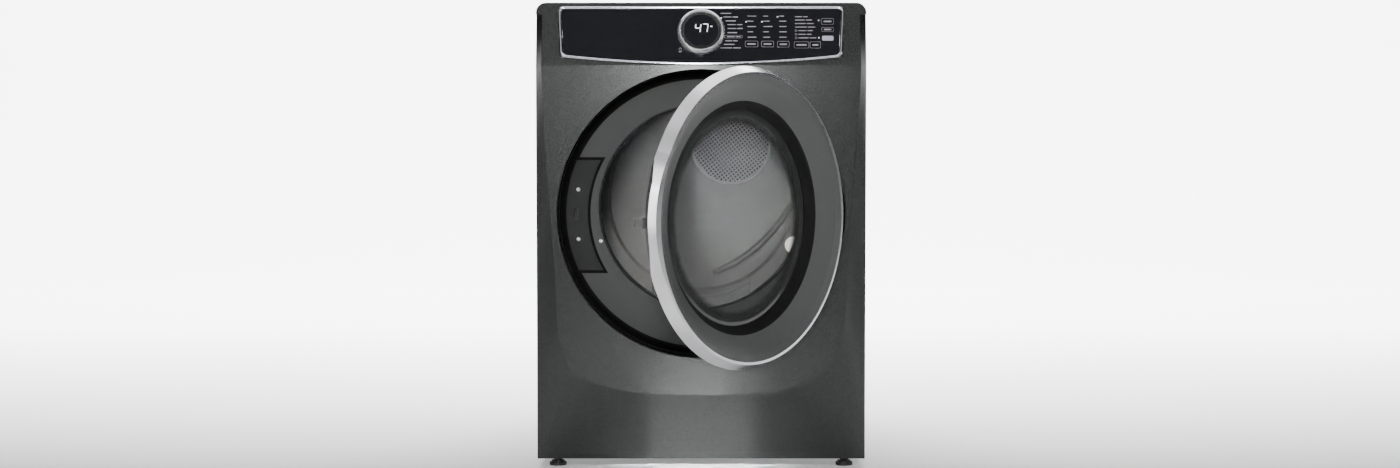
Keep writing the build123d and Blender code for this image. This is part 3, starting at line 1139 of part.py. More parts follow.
# ---------------------------------------------------------------- build
def build():
    """Every node of the dryer by name."""
    nodes = {
        "front_panel": make_front_panel(),
        "side_panel_left": make_side_panel(-1),
        "side_panel_right": make_side_panel(1),
        "top_panel": make_top_panel(),
        "base_pan": make_base_pan(),
        "rear_panel": make_rear_panel(),
        "terminal_cover": make_terminal_cover(),
        "console_frame": make_console_frame(),
        "console_fascia": make_fascia(),
        "console_tray": make_console_tray(),
        "control_board": make_control_board(),
        "dial_ring": make_dial_ring(),
        "display_lens": make_display_lens(),
        "door_well": make_door_well(),
        "latch_plate": make_latch_plate(),
        "latch_catch": make_latch_catch(),
        "trim_screws": make_screws(),
        "hinge_bracket": make_hinge_bracket(),
        "lint_filter": make_lint_filter(),
        "filter_duct": make_filter_duct(),
        "front_felt": make_front_felt(),
        "rear_felt": make_rear_felt(),
        "drum_shell": make_drum(),
        "drum_lifters": make_lifters(),
        "rear_bulkhead": make_rear_bulkhead(),
        "inlet_grille": make_inlet_grille(),
        "lamp_lens": make_lamp_lens(),
        "heater_box": make_heater_box(),
        "heating_coil": make_heating_coil(),
        "motor": make_motor(),
        "motor_rotor": make_rotor(),
        "blower_wheel": make_blower_wheel(),
        "blower_housing": make_blower_housing(),
        "exhaust_pipe": make_exhaust_pipe(),
        "drum_belt": make_belt(),
        "idler_arm": make_idler_arm(),
        "idler_pulley": make_idler_pulley(),
        "idler_spring": make_idler_spring(),
    }
    for name, maker in (("door_ring", make_door_ring), ("door_dish", make_door_dish),
                        ("door_glass", make_door_glass), ("door_inner_frame", make_inner_frame),
                        ("door_seal", make_door_seal), ("latch_strike", make_strike),
                        ("hinge_leaf", make_hinge_leaf)):
        nodes[name] = opened(maker())
    for name in KEYS:
        nodes[name] = make_key(name)
    for name, (x, z) in zip(("roller_left", "roller_right"), roller_centres()):
        nodes[name] = make_roller(x, z)
    for side, x in (("left", -FOOT_X), ("right", FOOT_X)):
        for end, y in (("front", FOOT_Y0), ("rear", FOOT_Y1)):
            nodes[f"foot_{end}_{side}"] = make_foot(x, y)
    return nodes


def main():
    os.makedirs("parts", exist_ok=True)
    nodes = build()
    for name, shape in nodes.items():
        export_step(shape, f"parts/{name}.step")
    print(len(nodes), "nodes written")


main()
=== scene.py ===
# %% [markdown]
# # A front-loading clothes dryer
#
# The engineering model of this dryer already exists: sixty named steel, plastic and glass pieces in metres,
# with the origin on the floor under the middle of the front. Blender's job in this lesson is how they look.
# We load that model as a fixed frame, keep its shapes, and add only what is too fine for it.

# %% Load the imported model
import json
import math

import bpy
import numpy as np
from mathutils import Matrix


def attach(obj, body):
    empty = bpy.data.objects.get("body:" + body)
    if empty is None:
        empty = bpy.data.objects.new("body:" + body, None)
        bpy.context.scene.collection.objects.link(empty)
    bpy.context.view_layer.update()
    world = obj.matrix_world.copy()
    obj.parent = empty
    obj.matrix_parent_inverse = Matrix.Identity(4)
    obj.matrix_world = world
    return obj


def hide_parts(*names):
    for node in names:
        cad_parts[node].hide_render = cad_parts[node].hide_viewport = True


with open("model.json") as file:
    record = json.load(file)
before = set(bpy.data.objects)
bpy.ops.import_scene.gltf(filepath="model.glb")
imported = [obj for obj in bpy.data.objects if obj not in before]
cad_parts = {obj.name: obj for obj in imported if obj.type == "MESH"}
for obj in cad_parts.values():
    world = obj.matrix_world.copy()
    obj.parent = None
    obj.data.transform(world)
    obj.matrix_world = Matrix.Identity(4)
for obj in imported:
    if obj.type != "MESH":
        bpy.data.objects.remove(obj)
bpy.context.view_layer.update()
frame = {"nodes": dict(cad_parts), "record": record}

# %% [markdown]
# ## Camera
#
# The dryer is seen straight on from about chest height, looking a little down. A 47 mm lens at nearly four
# metres keeps the sides of the cabinet almost parallel, as in a catalogue view.

# %% Camera
CAMERA_AT = (-0.00234, -3.7741, 0.6783)
CAMERA_DOWN = 0.0496
lens = bpy.data.cameras.new("camera")
lens.lens = 47.061
lens.sensor_width = 36.0
lens.sensor_fit = "HORIZONTAL"
camera = bpy.data.objects.new("camera", lens)
camera.location = CAMERA_AT
camera.rotation_euler = (math.pi / 2 - CAMERA_DOWN, 0.0, 0.0)
bpy.context.scene.collection.objects.link(camera)
bpy.context.scene.camera = camera
print("camera", CAMERA_AT, "lens", lens.lens)

# %% [markdown]
# ## Surfaces from numbers
#
# Every new shape is a grid of points. A grid is a rubber sheet of rows and columns: if we can write where the
# point at row `i` and column `j` goes, numpy works out all of them at once and Blender receives whole arrays.

# %% Grid helpers
def link_mesh(name, points, faces, smooth=True):
    """Make a mesh object from an (n, 3) array in metres and a list or array of corner numbers."""
    mesh = bpy.data.meshes.new(name)
    mesh.from_pydata(points.tolist(), [], faces if isinstance(faces, list) else faces.tolist())
    mesh.polygons.foreach_set("use_smooth", np.full(len(mesh.polygons), smooth))
    mesh.update()
    piece = bpy.data.objects.new(name, mesh)
    bpy.context.scene.collection.objects.link(piece)
    return piece


def grid_faces(rows, columns, wrap_rows=False, wrap_columns=False):
    """Corner numbers of a rows x columns grid of points: point (i, j) has number i * columns + j."""
    i = np.arange(rows if wrap_rows else rows - 1)[:, None]
    j = np.arange(columns if wrap_columns else columns - 1)[None, :]
    i1, j1 = (i + 1) % rows, (j + 1) % columns
    corners = [i * columns + j, i1 * columns + j, i1 * columns + j1, i * columns + j1]
    shape = np.broadcast_shapes(i.shape, j.shape)
    return np.stack([np.broadcast_to(c, shape) for c in corners], -1).reshape(-1, 4)


print("grid of 3 x 4 points has", len(grid_faces(3, 4)), "faces")

# %% [markdown]
# ## Studio
#
# A pale sweep, flat under the dryer and curving up behind it, gives the seamless white of a product studio.
# Glossy sheet metal shows its lamps, so each of the ten lamps has one job:
#
# - `front_strip` draws the soft upright shine down the middle of the front
# - `floor_pool` and `foot_pool` light the floor and the foot panel that mirrors it
# - `left_card`, `top_card` and `crown_card` are what the chrome ring and the console mirror
# - `frame_strip` draws the line along the console frame; `right_lamp` fills the right side a little
# - `drum_lamp` shines into the drum, and `top_lamp` lights the sweep behind

# %% Floor sweep and lamps
def studio_sweep(name, half_width, depth, height, radius):
    """Profile: flat floor, a quarter circle of the given radius, then a wall; carried along X."""
    angle = np.linspace(0.0, math.pi / 2, 17)
    y = np.concatenate([[-depth], depth - radius + radius * np.sin(angle), [depth]])
    z = np.concatenate([[0.0], radius - radius * np.cos(angle), [height]])
    x = np.array([-half_width, half_width])
    points = np.stack([np.repeat(x, len(y)), np.tile(y, 2), np.tile(z, 2)], -1)
    return link_mesh(name, points, grid_faces(2, len(y)))


sweep = studio_sweep("studio_sweep", 9.0, 7.0, 7.0, 2.5)


def soft_lamp(name, place, aim, size, watts, spread=180.0):
    """An oblong area lamp at one point, turned to face another; a grid narrows its spread in degrees."""
    data = bpy.data.lights.new(name, "AREA")
    data.shape = "RECTANGLE"
    data.size, data.size_y = size
    data.energy = watts
    data.spread = math.radians(spread)
    lamp = bpy.data.objects.new(name, data)
    lamp.location = place
    toward = np.subtract(aim, place)
    flat = math.hypot(toward[0], toward[1])
    lamp.rotation_euler = (math.atan2(flat, -toward[2]), 0.0, math.atan2(-toward[0], toward[1]))
    bpy.context.scene.collection.objects.link(lamp)


MIDDLE = (0.0, 0.0, 0.55)
soft_lamp("front_strip", (-0.06, -4.6, 1.9), MIDDLE, (0.22, 2.6), 18.0, 60.0)
soft_lamp("floor_pool", (0.0, -1.35, 3.0), (0.0, -1.35, 0.0), (0.12, 1.6), 14.0, 7.0)
soft_lamp("foot_pool", (0.0, -2.6, 1.2), (0.0, -0.14, 0.0), (0.14, 0.14), 1.9, 9.0)
soft_lamp("left_card", (-1.75, -3.5, 1.7), (-0.1, -0.45, 0.9), (0.9, 3.9), 11.0, 100.0)
soft_lamp("top_card", (-0.4, -2.15, 2.9), (-0.1, -0.1, 0.85), (3.2, 1.4), 8.0)
soft_lamp("crown_card", (-0.1, -0.7, 3.0), (-0.1, -0.7, 0.0), (1.8, 1.5), 9.0)
soft_lamp("frame_strip", (0.0, -3.1, 2.0), (0.0, 0.0, 0.9), (3.6, 0.16), 18.0)
soft_lamp("right_lamp", (3.4, -1.2, 1.0), (0.1, -0.2, 0.5), (0.8, 2.0), 2.4, 50.0)
soft_lamp("drum_lamp", (-0.1, -3.4, 0.5), (0.06, 0.7, 0.54), (0.2, 0.2), 0.22, 7.0)
soft_lamp("top_lamp", (0.0, 1.6, 3.4), (0.0, 1.6, 0.0), (4.0, 3.0), 80.0)

world = bpy.data.worlds.new("studio_air")
bpy.context.scene.world = world
world.use_nodes = True
air = world.node_tree.nodes["Background"].inputs
air["Color"].default_value = (1.0, 1.0, 1.0, 1.0)
air["Strength"].default_value = 0.05

# %% [markdown]
# ## Materials from what things are made of
#
# A finish is a colour, a roughness and a fine relief. Two small tools are enough: one turns a colour code into
# the linear numbers that light is added up in, the other adds one node with its settings and its links.

# %% Colour and node tools
def linear(code, alpha=1.0):
    """sRGB hex to linear: c / 12.92 below 0.04045, else ((c + 0.055) / 1.055) ** 2.4."""
    part = np.array([int(code[i:i + 2], 16) for i in (1, 3, 5)]) / 255.0
    bright = np.where(part <= 0.04045, part / 12.92, ((part + 0.055) / 1.055) ** 2.4)
    return (*bright.tolist(), alpha)


def add(tree, kind, inputs=None, **settings):
    """Add one shader node: settings are its own properties, inputs are values or sockets for its sockets."""
    new = tree.nodes.new("ShaderNode" + kind)
    for key, value in settings.items():
        setattr(new, key, value)
    for key, value in (inputs or {}).items():
        if isinstance(value, bpy.types.NodeSocket):
            tree.links.new(value, new.inputs[key])
        else:
            new.inputs[key].default_value = value
    return new


def new_finish(name, **values):
    """A material with one Principled shader, and that shader's constant values."""
    finish = bpy.data.materials.new(name)
    finish.use_nodes = True
    shader = finish.node_tree.nodes["Principled BSDF"]
    for key, value in values.items():
        shader.inputs[key.replace("_", " ")].default_value = value
    return finish, finish.node_tree, shader


def mottled(tree, shader, dark, light, grain_mm, roughness, relief_mm, stretch=(1.0, 1.0, 1.0)):
    """Noise of one grain size: it drives colour between two codes, roughness between two values, and relief.

    Returns the texture coordinate node, for a finish that needs places as well.
    """
    place = add(tree, "TexCoord")
    scaled = add(tree, "Mapping", {"Vector": place.outputs["Object"], "Scale": stretch})
    noise = add(tree, "TexNoise", {"Vector": scaled.outputs["Vector"], "Scale": 1000.0 / grain_mm,
                                   "Detail": 3.0})
    grain = noise.outputs["Fac"]
    tint = add(tree, "Mix", {0: grain, 6: linear(dark), 7: linear(light)}, data_type="RGBA")
    tree.links.new(tint.outputs[2], shader.inputs["Base Color"])
    rough = add(tree, "MapRange", {"Value": grain, "To Min": roughness[0], "To Max": roughness[1]})
    tree.links.new(rough.outputs["Result"], shader.inputs["Roughness"])
    bump = add(tree, "Bump", {"Height": grain, "Distance": relief_mm / 1000.0, "Strength": 1.0})
    tree.links.new(bump.outputs["Normal"], shader.inputs["Normal"])
    return place


print("mid grey is", [round(v, 3) for v in linear("#808080")])

# %% [markdown]
# ## Backdrop paper
#
# The paper behind the dryer gives off light of its own, so it stays white. The glow starts at the front plane,
# grows to its full strength three metres behind it, and fades out before the sides of the sweep, where the
# cabinet's flanks would mirror it.

# %% Glowing paper
PAPER_GLOW = 6.0
GLOW_DEPTH = 3.0
GLOW_EDGE = (4.2, 4.8)


def backdrop_paper():
    """Emission strength is a ramp along Y times a ramp down over the absolute value of X."""
    finish, tree, shader = new_finish("backdrop_paper", Roughness=0.9)
    shader.inputs["Base Color"].default_value = (0.85, 0.85, 0.85, 1.0)
    shader.inputs["Emission Color"].default_value = (1.0, 1.0, 1.0, 1.0)
    place = add(tree, "TexCoord")
    axes = add(tree, "SeparateXYZ", {"Vector": place.outputs["Object"]})
    glow = add(tree, "MapRange", {"Value": axes.outputs["Y"], "From Min": 0.0, "From Max": GLOW_DEPTH,
                                  "To Min": 0.0, "To Max": PAPER_GLOW})
    side = add(tree, "Math", {0: axes.outputs["X"]}, operation="ABSOLUTE")
    edge = add(tree, "MapRange", {"Value": side.outputs[0], "From Min": GLOW_EDGE[0], "From Max": GLOW_EDGE[1],
                                  "To Min": 1.0, "To Max": 0.0})
    light = add(tree, "Math", {0: glow.outputs["Result"], 1: edge.outputs["Result"]}, operation="MULTIPLY")
    tree.links.new(light.outputs[0], shader.inputs["Emission Strength"])
    return finish


sweep.data.materials.append(backdrop_paper())
print("paper glows", PAPER_GLOW, "at", GLOW_DEPTH, "m")

# %% [markdown]
# ## The cabinet's enamel
#
# The sheet steel is sprayed with a metallic enamel and baked. Aluminium flakes in a dark binder make it read
# as a grey that brightens where it mirrors a lamp; the clear binder on top gives a second, sharper shine with
# a faint orange-peel ripple about four millimetres across.

# %% Titanium enamel
def titanium_enamel():
    """Flakes: fine noise between two greys. Orange peel: slow noise as relief under a clear coat."""
    finish, tree, shader = new_finish("titanium_enamel", Metallic=0.75, Coat_Weight=0.35, Coat_Roughness=0.12)
    place = add(tree, "TexCoord")
    flakes = add(tree, "TexVoronoi", {"Vector": place.outputs["Object"], "Scale": 900.0})
    tint = add(tree, "Mix", {0: flakes.outputs["Color"], 6: linear("#2a2c2b"), 7: linear("#3c3e3d")},
               data_type="RGBA")
    tree.links.new(tint.outputs[2], shader.inputs["Base Color"])
    peel = add(tree, "TexNoise", {"Vector": place.outputs["Object"], "Scale": 240.0, "Detail": 2.0})
    rough = add(tree, "MapRange", {"Value": flakes.outputs["Distance"], "To Min": 0.24, "To Max": 0.30})
    tree.links.new(rough.outputs["Result"], shader.inputs["Roughness"])
    bump = add(tree, "Bump", {"Height": peel.outputs["Fac"], "Distance": 0.00004, "Strength": 1.0})
    tree.links.new(bump.outputs["Normal"], shader.inputs["Coat Normal"])
    return finish


# %% [markdown]
# ## Bare metals
#
# Galvanised sheet shows zinc crystals, called spangle, 8 to 15 mm across, each a slightly different grey.
# Turned and ground parts carry fine rings or lines. Chrome plating has no grain: only a soft haze keeps it
# from looking like a computer's mirror.

# %% Galvanised sheet, chrome plate, ground steel
def galvanised_sheet():
    """Spangle: Voronoi cells 11 mm wide pick the grey and the roughness of each crystal."""
    finish, tree, shader = new_finish("galvanised_sheet", Metallic=1.0)
    place = add(tree, "TexCoord")
    cells = add(tree, "TexVoronoi", {"Vector": place.outputs["Object"], "Scale": 90.0})
    value = add(tree, "SeparateColor", {"Color": cells.outputs["Color"]})
    tint = add(tree, "Mix", {0: value.outputs["Red"], 6: linear("#8b8e90"), 7: linear("#b4b7b8")},
               data_type="RGBA")
    tree.links.new(tint.outputs[2], shader.inputs["Base Color"])
    rough = add(tree, "MapRange", {"Value": value.outputs["Green"], "To Min": 0.34, "To Max": 0.52})
    tree.links.new(rough.outputs["Result"], shader.inputs["Roughness"])
    return finish


def chrome_plate():
    """Bright nickel under thin chromium: nearly white, with a haze that wanders over 30 mm."""
    finish, tree, shader = new_finish("chrome_plate", Metallic=1.0)
    mottled(tree, shader, "#dcdce6", "#ececf4", 30.0, (0.06, 0.11), 0.002)
    return finish


def satin_chrome(name, metallic):
    """Chromium over brushed nickel: the same metal with a haze wide enough to melt reflections together."""
    finish, tree, shader = new_finish(name, Metallic=metallic)
    mottled(tree, shader, "#e2e2e6", "#f0f0f3", 30.0, (0.2, 0.26), 0.002)
    return finish


def ground_steel():
    """Ground and turned steel: fine scratches drawn out along Y."""
    finish, tree, shader = new_finish("ground_steel", Metallic=1.0)
    mottled(tree, shader, "#a5a5a3", "#c9c9c6", 1.2, (0.22, 0.36), 0.01, (1.0, 0.08, 1.0))
    return finish


# %% [markdown]
# ## Moulded plastics
#
# The dark parts are injection moulded. A spark-eroded mould leaves an even pebble under a millimetre wide, and
# thick walls leave slow, faint sink. The console's front is the opposite: a polished mould, so it shines.

# %% Moulded plastics
def moulded(name, dark, light, grain_mm, roughness, relief_mm, **values):
    """Spark-eroded mould grain at the given size, between two near codes."""
    finish, tree, shader = new_finish(name, IOR=1.5, **values)
    mottled(tree, shader, dark, light, grain_mm, roughness, relief_mm)
    return finish


def polished_abs():
    """Black plastic from a polished mould: glossy, its faint waves twelve millimetres apart."""
    finish, tree, shader = new_finish("polished_abs", IOR=1.4, Specular_IOR_Level=0.3)
    mottled(tree, shader, "#0f1015", "#14151b", 12.0, (0.1, 0.14), 0.003)
    return finish


def soft_rubber():
    """Moulded rubber with a bloom of lighter dust in its slow hollows."""
    finish, tree, shader = new_finish("moulded_rubber", IOR=1.52)
    mottled(tree, shader, "#1c1c1c", "#2b2b2a", 2.5, (0.62, 0.8), 0.03)
    return finish


def needled_felt():
    """Needle felt: fibres 0.4 mm thick, drawn at 1.6 mm so that they show, with sheen at grazing angles."""
    finish, tree, shader = new_finish("needled_felt", IOR=1.5, Sheen_Weight=0.4, Sheen_Roughness=0.5)
    mottled(tree, shader, "#6a655c", "#8d877b", 1.6, (0.9, 1.0), 0.5)
    return finish


# %% [markdown]
# ## Glass
#
# The window is toughened glass with a black ceramic border fired on, so the clear disc fades into a dark
# edge. One material does both: the distance from the window's axis decides how much of each shows. The same
# distance paints the door's recess black as painted shade, and distances of their own paint black shade into
# the well's groove, the bed round the latch plate and the opening's lip; in the groove the black is also its
# gasket.

# %% Window glass
HINGE = (0.276, -0.010)
DOOR_TURN = math.radians(49.5)
DOOR_MIDDLE_Z = 0.532
DRUM_AXIS_Z = 0.545
GROOVE_R = 0.279
BED_R, BED_MIDDLE_Z, BED_HALF = 0.231, 0.528, 0.121
LIP_R, LIP_HALF = 0.2125, 0.0012
RECESS_R, PAINT_BLEND = 0.2285, 0.0003
CLEAR_R, BORDER_R, CLEAR_TINT = 0.176, 0.2, 0.12
# Painted shade: flat black for the door's recess wall and for the well's groove, bed and lip.
PAINTED_SHADE_BLACK = linear("#030303")


def from_window_axis(tree):
    """Distance from the window's axis: place turned back to the closed door, Y dropped, then its length."""
    place = add(tree, "TexCoord")
    off = add(tree, "VectorMath", {0: place.outputs["Object"], 1: (HINGE[0], HINGE[1], DOOR_MIDDLE_Z)},
              operation="SUBTRACT")
    turned = add(tree, "VectorRotate", {"Vector": off.outputs[0], "Angle": -DOOR_TURN},
                 rotation_type="Z_AXIS")
    centred = add(tree, "VectorMath", {0: turned.outputs[0], 1: (HINGE[0], 0.0, 0.0)}, operation="ADD")
    flat = add(tree, "VectorMath", {0: centred.outputs[0], 1: (1.0, 0.0, 1.0)}, operation="MULTIPLY")
    radius = add(tree, "VectorMath", {0: flat.outputs[0]}, operation="LENGTH")
    return radius.outputs["Value"]


def repaint(tree, shader, share, first, second, gloss):
    """Mix the shader's colour and roughness by a share; a None in a pair stands for what the shader has now."""
    colours = [c or shader.inputs["Base Color"].links[0].from_socket for c in (first, second)]
    rough = [g or shader.inputs["Roughness"].links[0].from_socket for g in gloss]
    tint = add(tree, "Mix", {0: share, 6: colours[0], 7: colours[1]}, data_type="RGBA")
    tree.links.new(tint.outputs[2], shader.inputs["Base Color"])
    mixed = add(tree, "Mix", {0: share, 2: rough[0], 3: rough[1]})
    tree.links.new(mixed.outputs[0], shader.inputs["Roughness"])


def recess_painted_shade(name, dark, light):
    """Grained grey outside the recess's radius about the window's axis; inside it, flat black as painted shade
    on the recess wall.
    """
    finish, tree, shader = new_finish(name, IOR=1.5, Specular_IOR_Level=0.22)
    mottled(tree, shader, dark, light, 0.9, (0.36, 0.46), 0.03)
    outside = add(tree, "MapRange", {"Value": from_window_axis(tree), "From Min": RECESS_R - PAINT_BLEND,
                                     "From Max": RECESS_R + PAINT_BLEND})
    # Painted shade: the recess wall inside RECESS_R is coloured black for the shadow that falls in it.
    repaint(tree, shader, outside.outputs["Result"], PAINTED_SHADE_BLACK, None, (0.85, None))
    return finish


def well_finish():
    """Grained grey ring with painted shade: black in the round groove, in the bed round the latch plate and on
    the opening's lip; in the groove the black also stands for the dark gasket.

    Radius r is taken about the door's middle, q about the drum's axis. The groove is r > GROOVE_R, the bed is
    the part of r > BED_R left of the middle whose height is within BED_HALF of BED_MIDDLE_Z, and the lip is
    where q is within LIP_HALF of LIP_R.
    """
    finish, tree, shader = new_finish("grained_abs_with_gasket_and_painted_shade", IOR=1.5, Specular_IOR_Level=0.22)
    place = mottled(tree, shader, "#2d2f2e", "#353736", 0.9, (0.46, 0.56), 0.03)
    axes = add(tree, "SeparateXYZ", {"Vector": place.outputs["Object"]})

    def radius(middle_z):
        off = add(tree, "Math", {0: axes.outputs["Z"], 1: middle_z}, operation="SUBTRACT")
        flat = add(tree, "CombineXYZ", {"X": axes.outputs["X"], "Y": off.outputs[0]})
        return add(tree, "VectorMath", {0: flat.outputs[0]}, operation="LENGTH").outputs["Value"]

    def over(value, limit):
        return add(tree, "Math", {0: value, 1: limit}, operation="GREATER_THAN").outputs[0]

    r, q = radius(DOOR_MIDDLE_Z), radius(DRUM_AXIS_Z)
    beside = add(tree, "Math", {0: axes.outputs["X"], 1: 0.0}, operation="LESS_THAN")
    level = add(tree, "Math", {0: axes.outputs["Z"], 1: BED_MIDDLE_Z, 2: BED_HALF}, operation="COMPARE")
    sector = add(tree, "Math", {0: beside.outputs[0], 1: level.outputs[0]}, operation="MULTIPLY")
    bed = add(tree, "Math", {0: over(r, BED_R), 1: sector.outputs[0]}, operation="MULTIPLY")
    lip = add(tree, "Math", {0: q, 1: LIP_R, 2: LIP_HALF}, operation="COMPARE")
    first = add(tree, "Math", {0: over(r, GROOVE_R), 1: bed.outputs[0]}, operation="MAXIMUM")
    black = add(tree, "Math", {0: first.outputs[0], 1: lip.outputs[0]}, operation="MAXIMUM")
    # Painted shade: groove, bed and lip turn black where shade falls; in the groove the black is also the
    # gasket.
    repaint(tree, shader, black.outputs[0], None, PAINTED_SHADE_BLACK, (None, 0.95))
    return finish


def window_glass():
    """Opacity rises smoothly from CLEAR_TINT within CLEAR_R of the window's axis to 1 at BORDER_R."""
    finish, tree, shader = new_finish("toughened_glass", IOR=1.5, Roughness=0.02, Alpha=1.0)
    shader.inputs["Transmission Weight"].default_value = 0.0
    shader.inputs["Base Color"].default_value = linear("#2b2d2c")
    clear = add(tree, "MapRange", {"Value": from_window_axis(tree), "From Min": CLEAR_R, "From Max": BORDER_R,
                                   "To Min": CLEAR_TINT, "To Max": 1.0}, interpolation_type="SMOOTHSTEP")
    tree.links.new(clear.outputs["Result"], shader.inputs["Alpha"])
    return finish


def frosted_glass():
    """Pressed lamp glass: pale, with a fine dimple, lit from behind by its bulb."""
    finish, tree, shader = new_finish("frosted_lamp_glass", IOR=1.5, Emission_Strength=1.1)
    mottled(tree, shader, "#d8dad6", "#eef0ec", 3.0, (0.25, 0.4), 0.15)
    shader.inputs["Emission Color"].default_value = linear("#f4f2ea")
    return finish


print("window is clear within", CLEAR_R, "m of its axis")

# %% [markdown]
# ## Finishes on the model
#
# Every node of the engineering model names a material slot. One table gives each slot its finish, and a second,
# shorter one holds the parts that differ from the rest of their slot.

# %% Give every node its finish
FINISHES = {
    "titanium_paint": titanium_enamel(),
    "galvanised_steel": galvanised_sheet(),
    "chrome": chrome_plate(),
    "gloss_black": polished_abs(),
    "dark_grey_plastic": moulded("grained_grey_abs", "#353736", "#3e403f", 0.9, (0.36, 0.46), 0.03),
    "black_plastic": moulded("black_polypropylene", "#161616", "#1f1f1f", 1.0, (0.45, 0.6), 0.04),
    "window_glass": window_glass(),
    "lamp_glass": frosted_glass(),
    "drum_steel": moulded("powder_coated_steel", "#868685", "#959594", 1.4, (0.42, 0.52), 0.02),
    "grey_plastic": moulded("mid_grey_polypropylene", "#8a8985", "#979691", 1.0, (0.4, 0.5), 0.03),
    "felt": needled_felt(),
    "seal_rubber": soft_rubber(),
    "roller_nylon": moulded("natural_nylon", "#c9c6ba", "#d8d5ca", 1.5, (0.35, 0.5), 0.02),
    "motor_enamel": moulded("black_motor_enamel", "#1b1c1e", "#26272a", 2.0, (0.3, 0.45), 0.05),
    "bright_steel": ground_steel(),
    "board": moulded("glass_epoxy_laminate", "#0f3d20", "#16502b", 2.0, (0.3, 0.4), 0.01),
}
OWN_FINISH = {
    "door_dish": recess_painted_shade("grained_abs_painted_recess_shade", "#3f4140", "#484a49"),
    "door_well": well_finish(),
    "door_ring": satin_chrome("satin_chrome", 1.0),
    "dial_ring": satin_chrome("pearl_chrome", 0.8),
    "latch_plate": moulded("dark_grained_abs", "#151716", "#1b1d1c", 0.9, (0.6, 0.7), 0.03,
                           Specular_IOR_Level=0.25),
    "latch_catch": moulded("black_latch_plastic", "#0c0c0c", "#131313", 1.0, (0.45, 0.6), 0.03),
    "latch_strike": moulded("grey_nylon", "#4a4b4a", "#535453", 1.0, (0.5, 0.6), 0.03),
    "lint_filter": moulded("grey_polypropylene", "#5c5d5c", "#676867", 1.2, (0.45, 0.55), 0.03),
}
for row in frame["record"]["subparts"]:
    node = frame["nodes"][row["node"]]
    node.data.materials.clear()
    node.data.materials.append(OWN_FINISH.get(row["node"], FINISHES[row["material_slot"]]))
print("finishes", sorted(FINISHES))

# %% [markdown]
# ## Print on the console
#
# The glossy console is printed in pale grey ink. Programme and option names are reduced to plain bars, with
# round pips beside the ones that are lit, and thin outlines round the keys. Each mark is a low
# prism: a closed outline copied to two heights above the sloping face, which is why it catches a true edge.

# %% Prisms on the sloping console
SLOPE = math.radians(20.0)
SLOPE_FOOT = 0.838
LENS_TOP = 14.0
KEY_TOP = 1.0
INK = 0.12
SUNK = 0.05


def on_slope(x, up, out):
    """Console millimetres to metres: up runs along the slope, out stands away from it."""
    y = up * math.sin(SLOPE) - out * math.cos(SLOPE)
    z = up * math.cos(SLOPE) + out * math.sin(SLOPE)
    return np.stack([x, y, z + 1000.0 * SLOPE_FOOT], -1) / 1000.0


def capsule(x0, x1, up, height, steps=5):
    """Outline of a bar with round ends: two half circles of radius height / 2, joined by straight sides."""
    r = height / 2
    turn = np.linspace(-math.pi / 2, math.pi / 2, steps)
    right = np.stack([x1 - r + r * np.cos(turn), up + r * np.sin(turn)], -1)
    left = np.stack([x0 + r - r * np.cos(turn), up - r * np.sin(turn)], -1)
    return np.concatenate([right, left])


def rounded_box(x, up, width, height, radius, steps=4):
    """Outline of a rectangle whose corners are quarter circles."""
    turn = np.linspace(0.0, math.pi / 2, steps)
    arcs = []
    for quarter, (sx, su) in enumerate(((1, 1), (-1, 1), (-1, -1), (1, -1))):
        a = turn + quarter * math.pi / 2
        arcs.append(np.stack([x + sx * (width / 2 - radius) + radius * np.cos(a),
                              up + su * (height / 2 - radius) + radius * np.sin(a)], -1))
    return np.concatenate(arcs)


def solid_marks(outlines, out):
    """Prism of each outline: its top face, and a side quad from every edge down to the surface."""
    points, faces, base = [], [], 0
    for outline in outlines:
        n = len(outline)
        for level in (out + INK, out - SUNK):
            points.append(on_slope(outline[:, 0], outline[:, 1], level))
        ring = np.arange(n)
        faces.append([(base + ring).tolist()])
        after = (ring + 1) % n
        faces.append((base + np.stack([ring, ring + n, after + n, after], -1)).tolist())
        base += 2 * n
    return points, [face for group in faces for face in group], base


def line_marks(outlines, out, width):
    """Closed line of the given width along each outline: the outline and a copy drawn in to its middle."""
    points, faces, base = [], [], 0
    for outline in outlines:
        n = len(outline)
        middle = (outline.max(0) + outline.min(0)) / 2
        half = (outline.max(0) - outline.min(0)) / 2
        inner = middle + (outline - middle) * (1.0 - width / half)
        low, high = out - SUNK, out + INK
        for flat, level in ((outline, low), (outline, high), (inner, high), (inner, low)):
            points.append(on_slope(flat[:, 0], flat[:, 1], level))
        faces.append((base + grid_faces(4, n, wrap_columns=True)[:, ::-1]).tolist())
        base += 4 * n
    return points, [face for group in faces for face in group], base


def join_marks(name, groups):
    """One mesh object from several (points, faces, count) groups."""
    points, faces, base = [], [], 0
    for group_points, group_faces, count in groups:
        points += group_points
        faces += [[corner + base for corner in face] for face in group_faces]
        base += count
    return link_mesh(name, np.concatenate(points), faces, smooth=False)


# %% Bars, pips and outlines
PROGRAMMES = [(39.8, 62.5, 116.1), (45.7, 76.4, 108.0), (50.3, 71.8, 99.2), (54.0, 85.6, 90.9),
              (54.5, 86.2, 82.1), (54.5, 74.6, 72.9), (53.4, 82.0, 63.8), (49.5, 75.5, 54.6),
              (46.8, 69.2, 46.6), (39.5, 82.0, 38.8)]
COLUMNS = [(95.6, (115.2, 108.5, 114.0, 107.5, 114.5)), (128.3, (139.0, 142.0, 147.7, 140.0, 142.5)),
           (161.4, (172.0, 176.5, 177.0, 177.0, 177.0))]
COLUMN_ROWS = (110.0, 98.5, 86.6, 74.7, 62.6)
OPTIONS = [(194.2, 221.0, 108.6), (194.2, 230.0, 101.2), (194.2, 233.5, 93.3), (194.2, 236.5, 85.3),
           (200.5, 231.0, 77.4), (200.5, 228.5, 69.1), (200.5, 238.0, 61.1)]
PIPS = [(41.6, 105.9), (93.0, 97.2), (126.0, 97.2), (158.3, 108.4), (243.4, 100.3), (243.2, 61.4)]
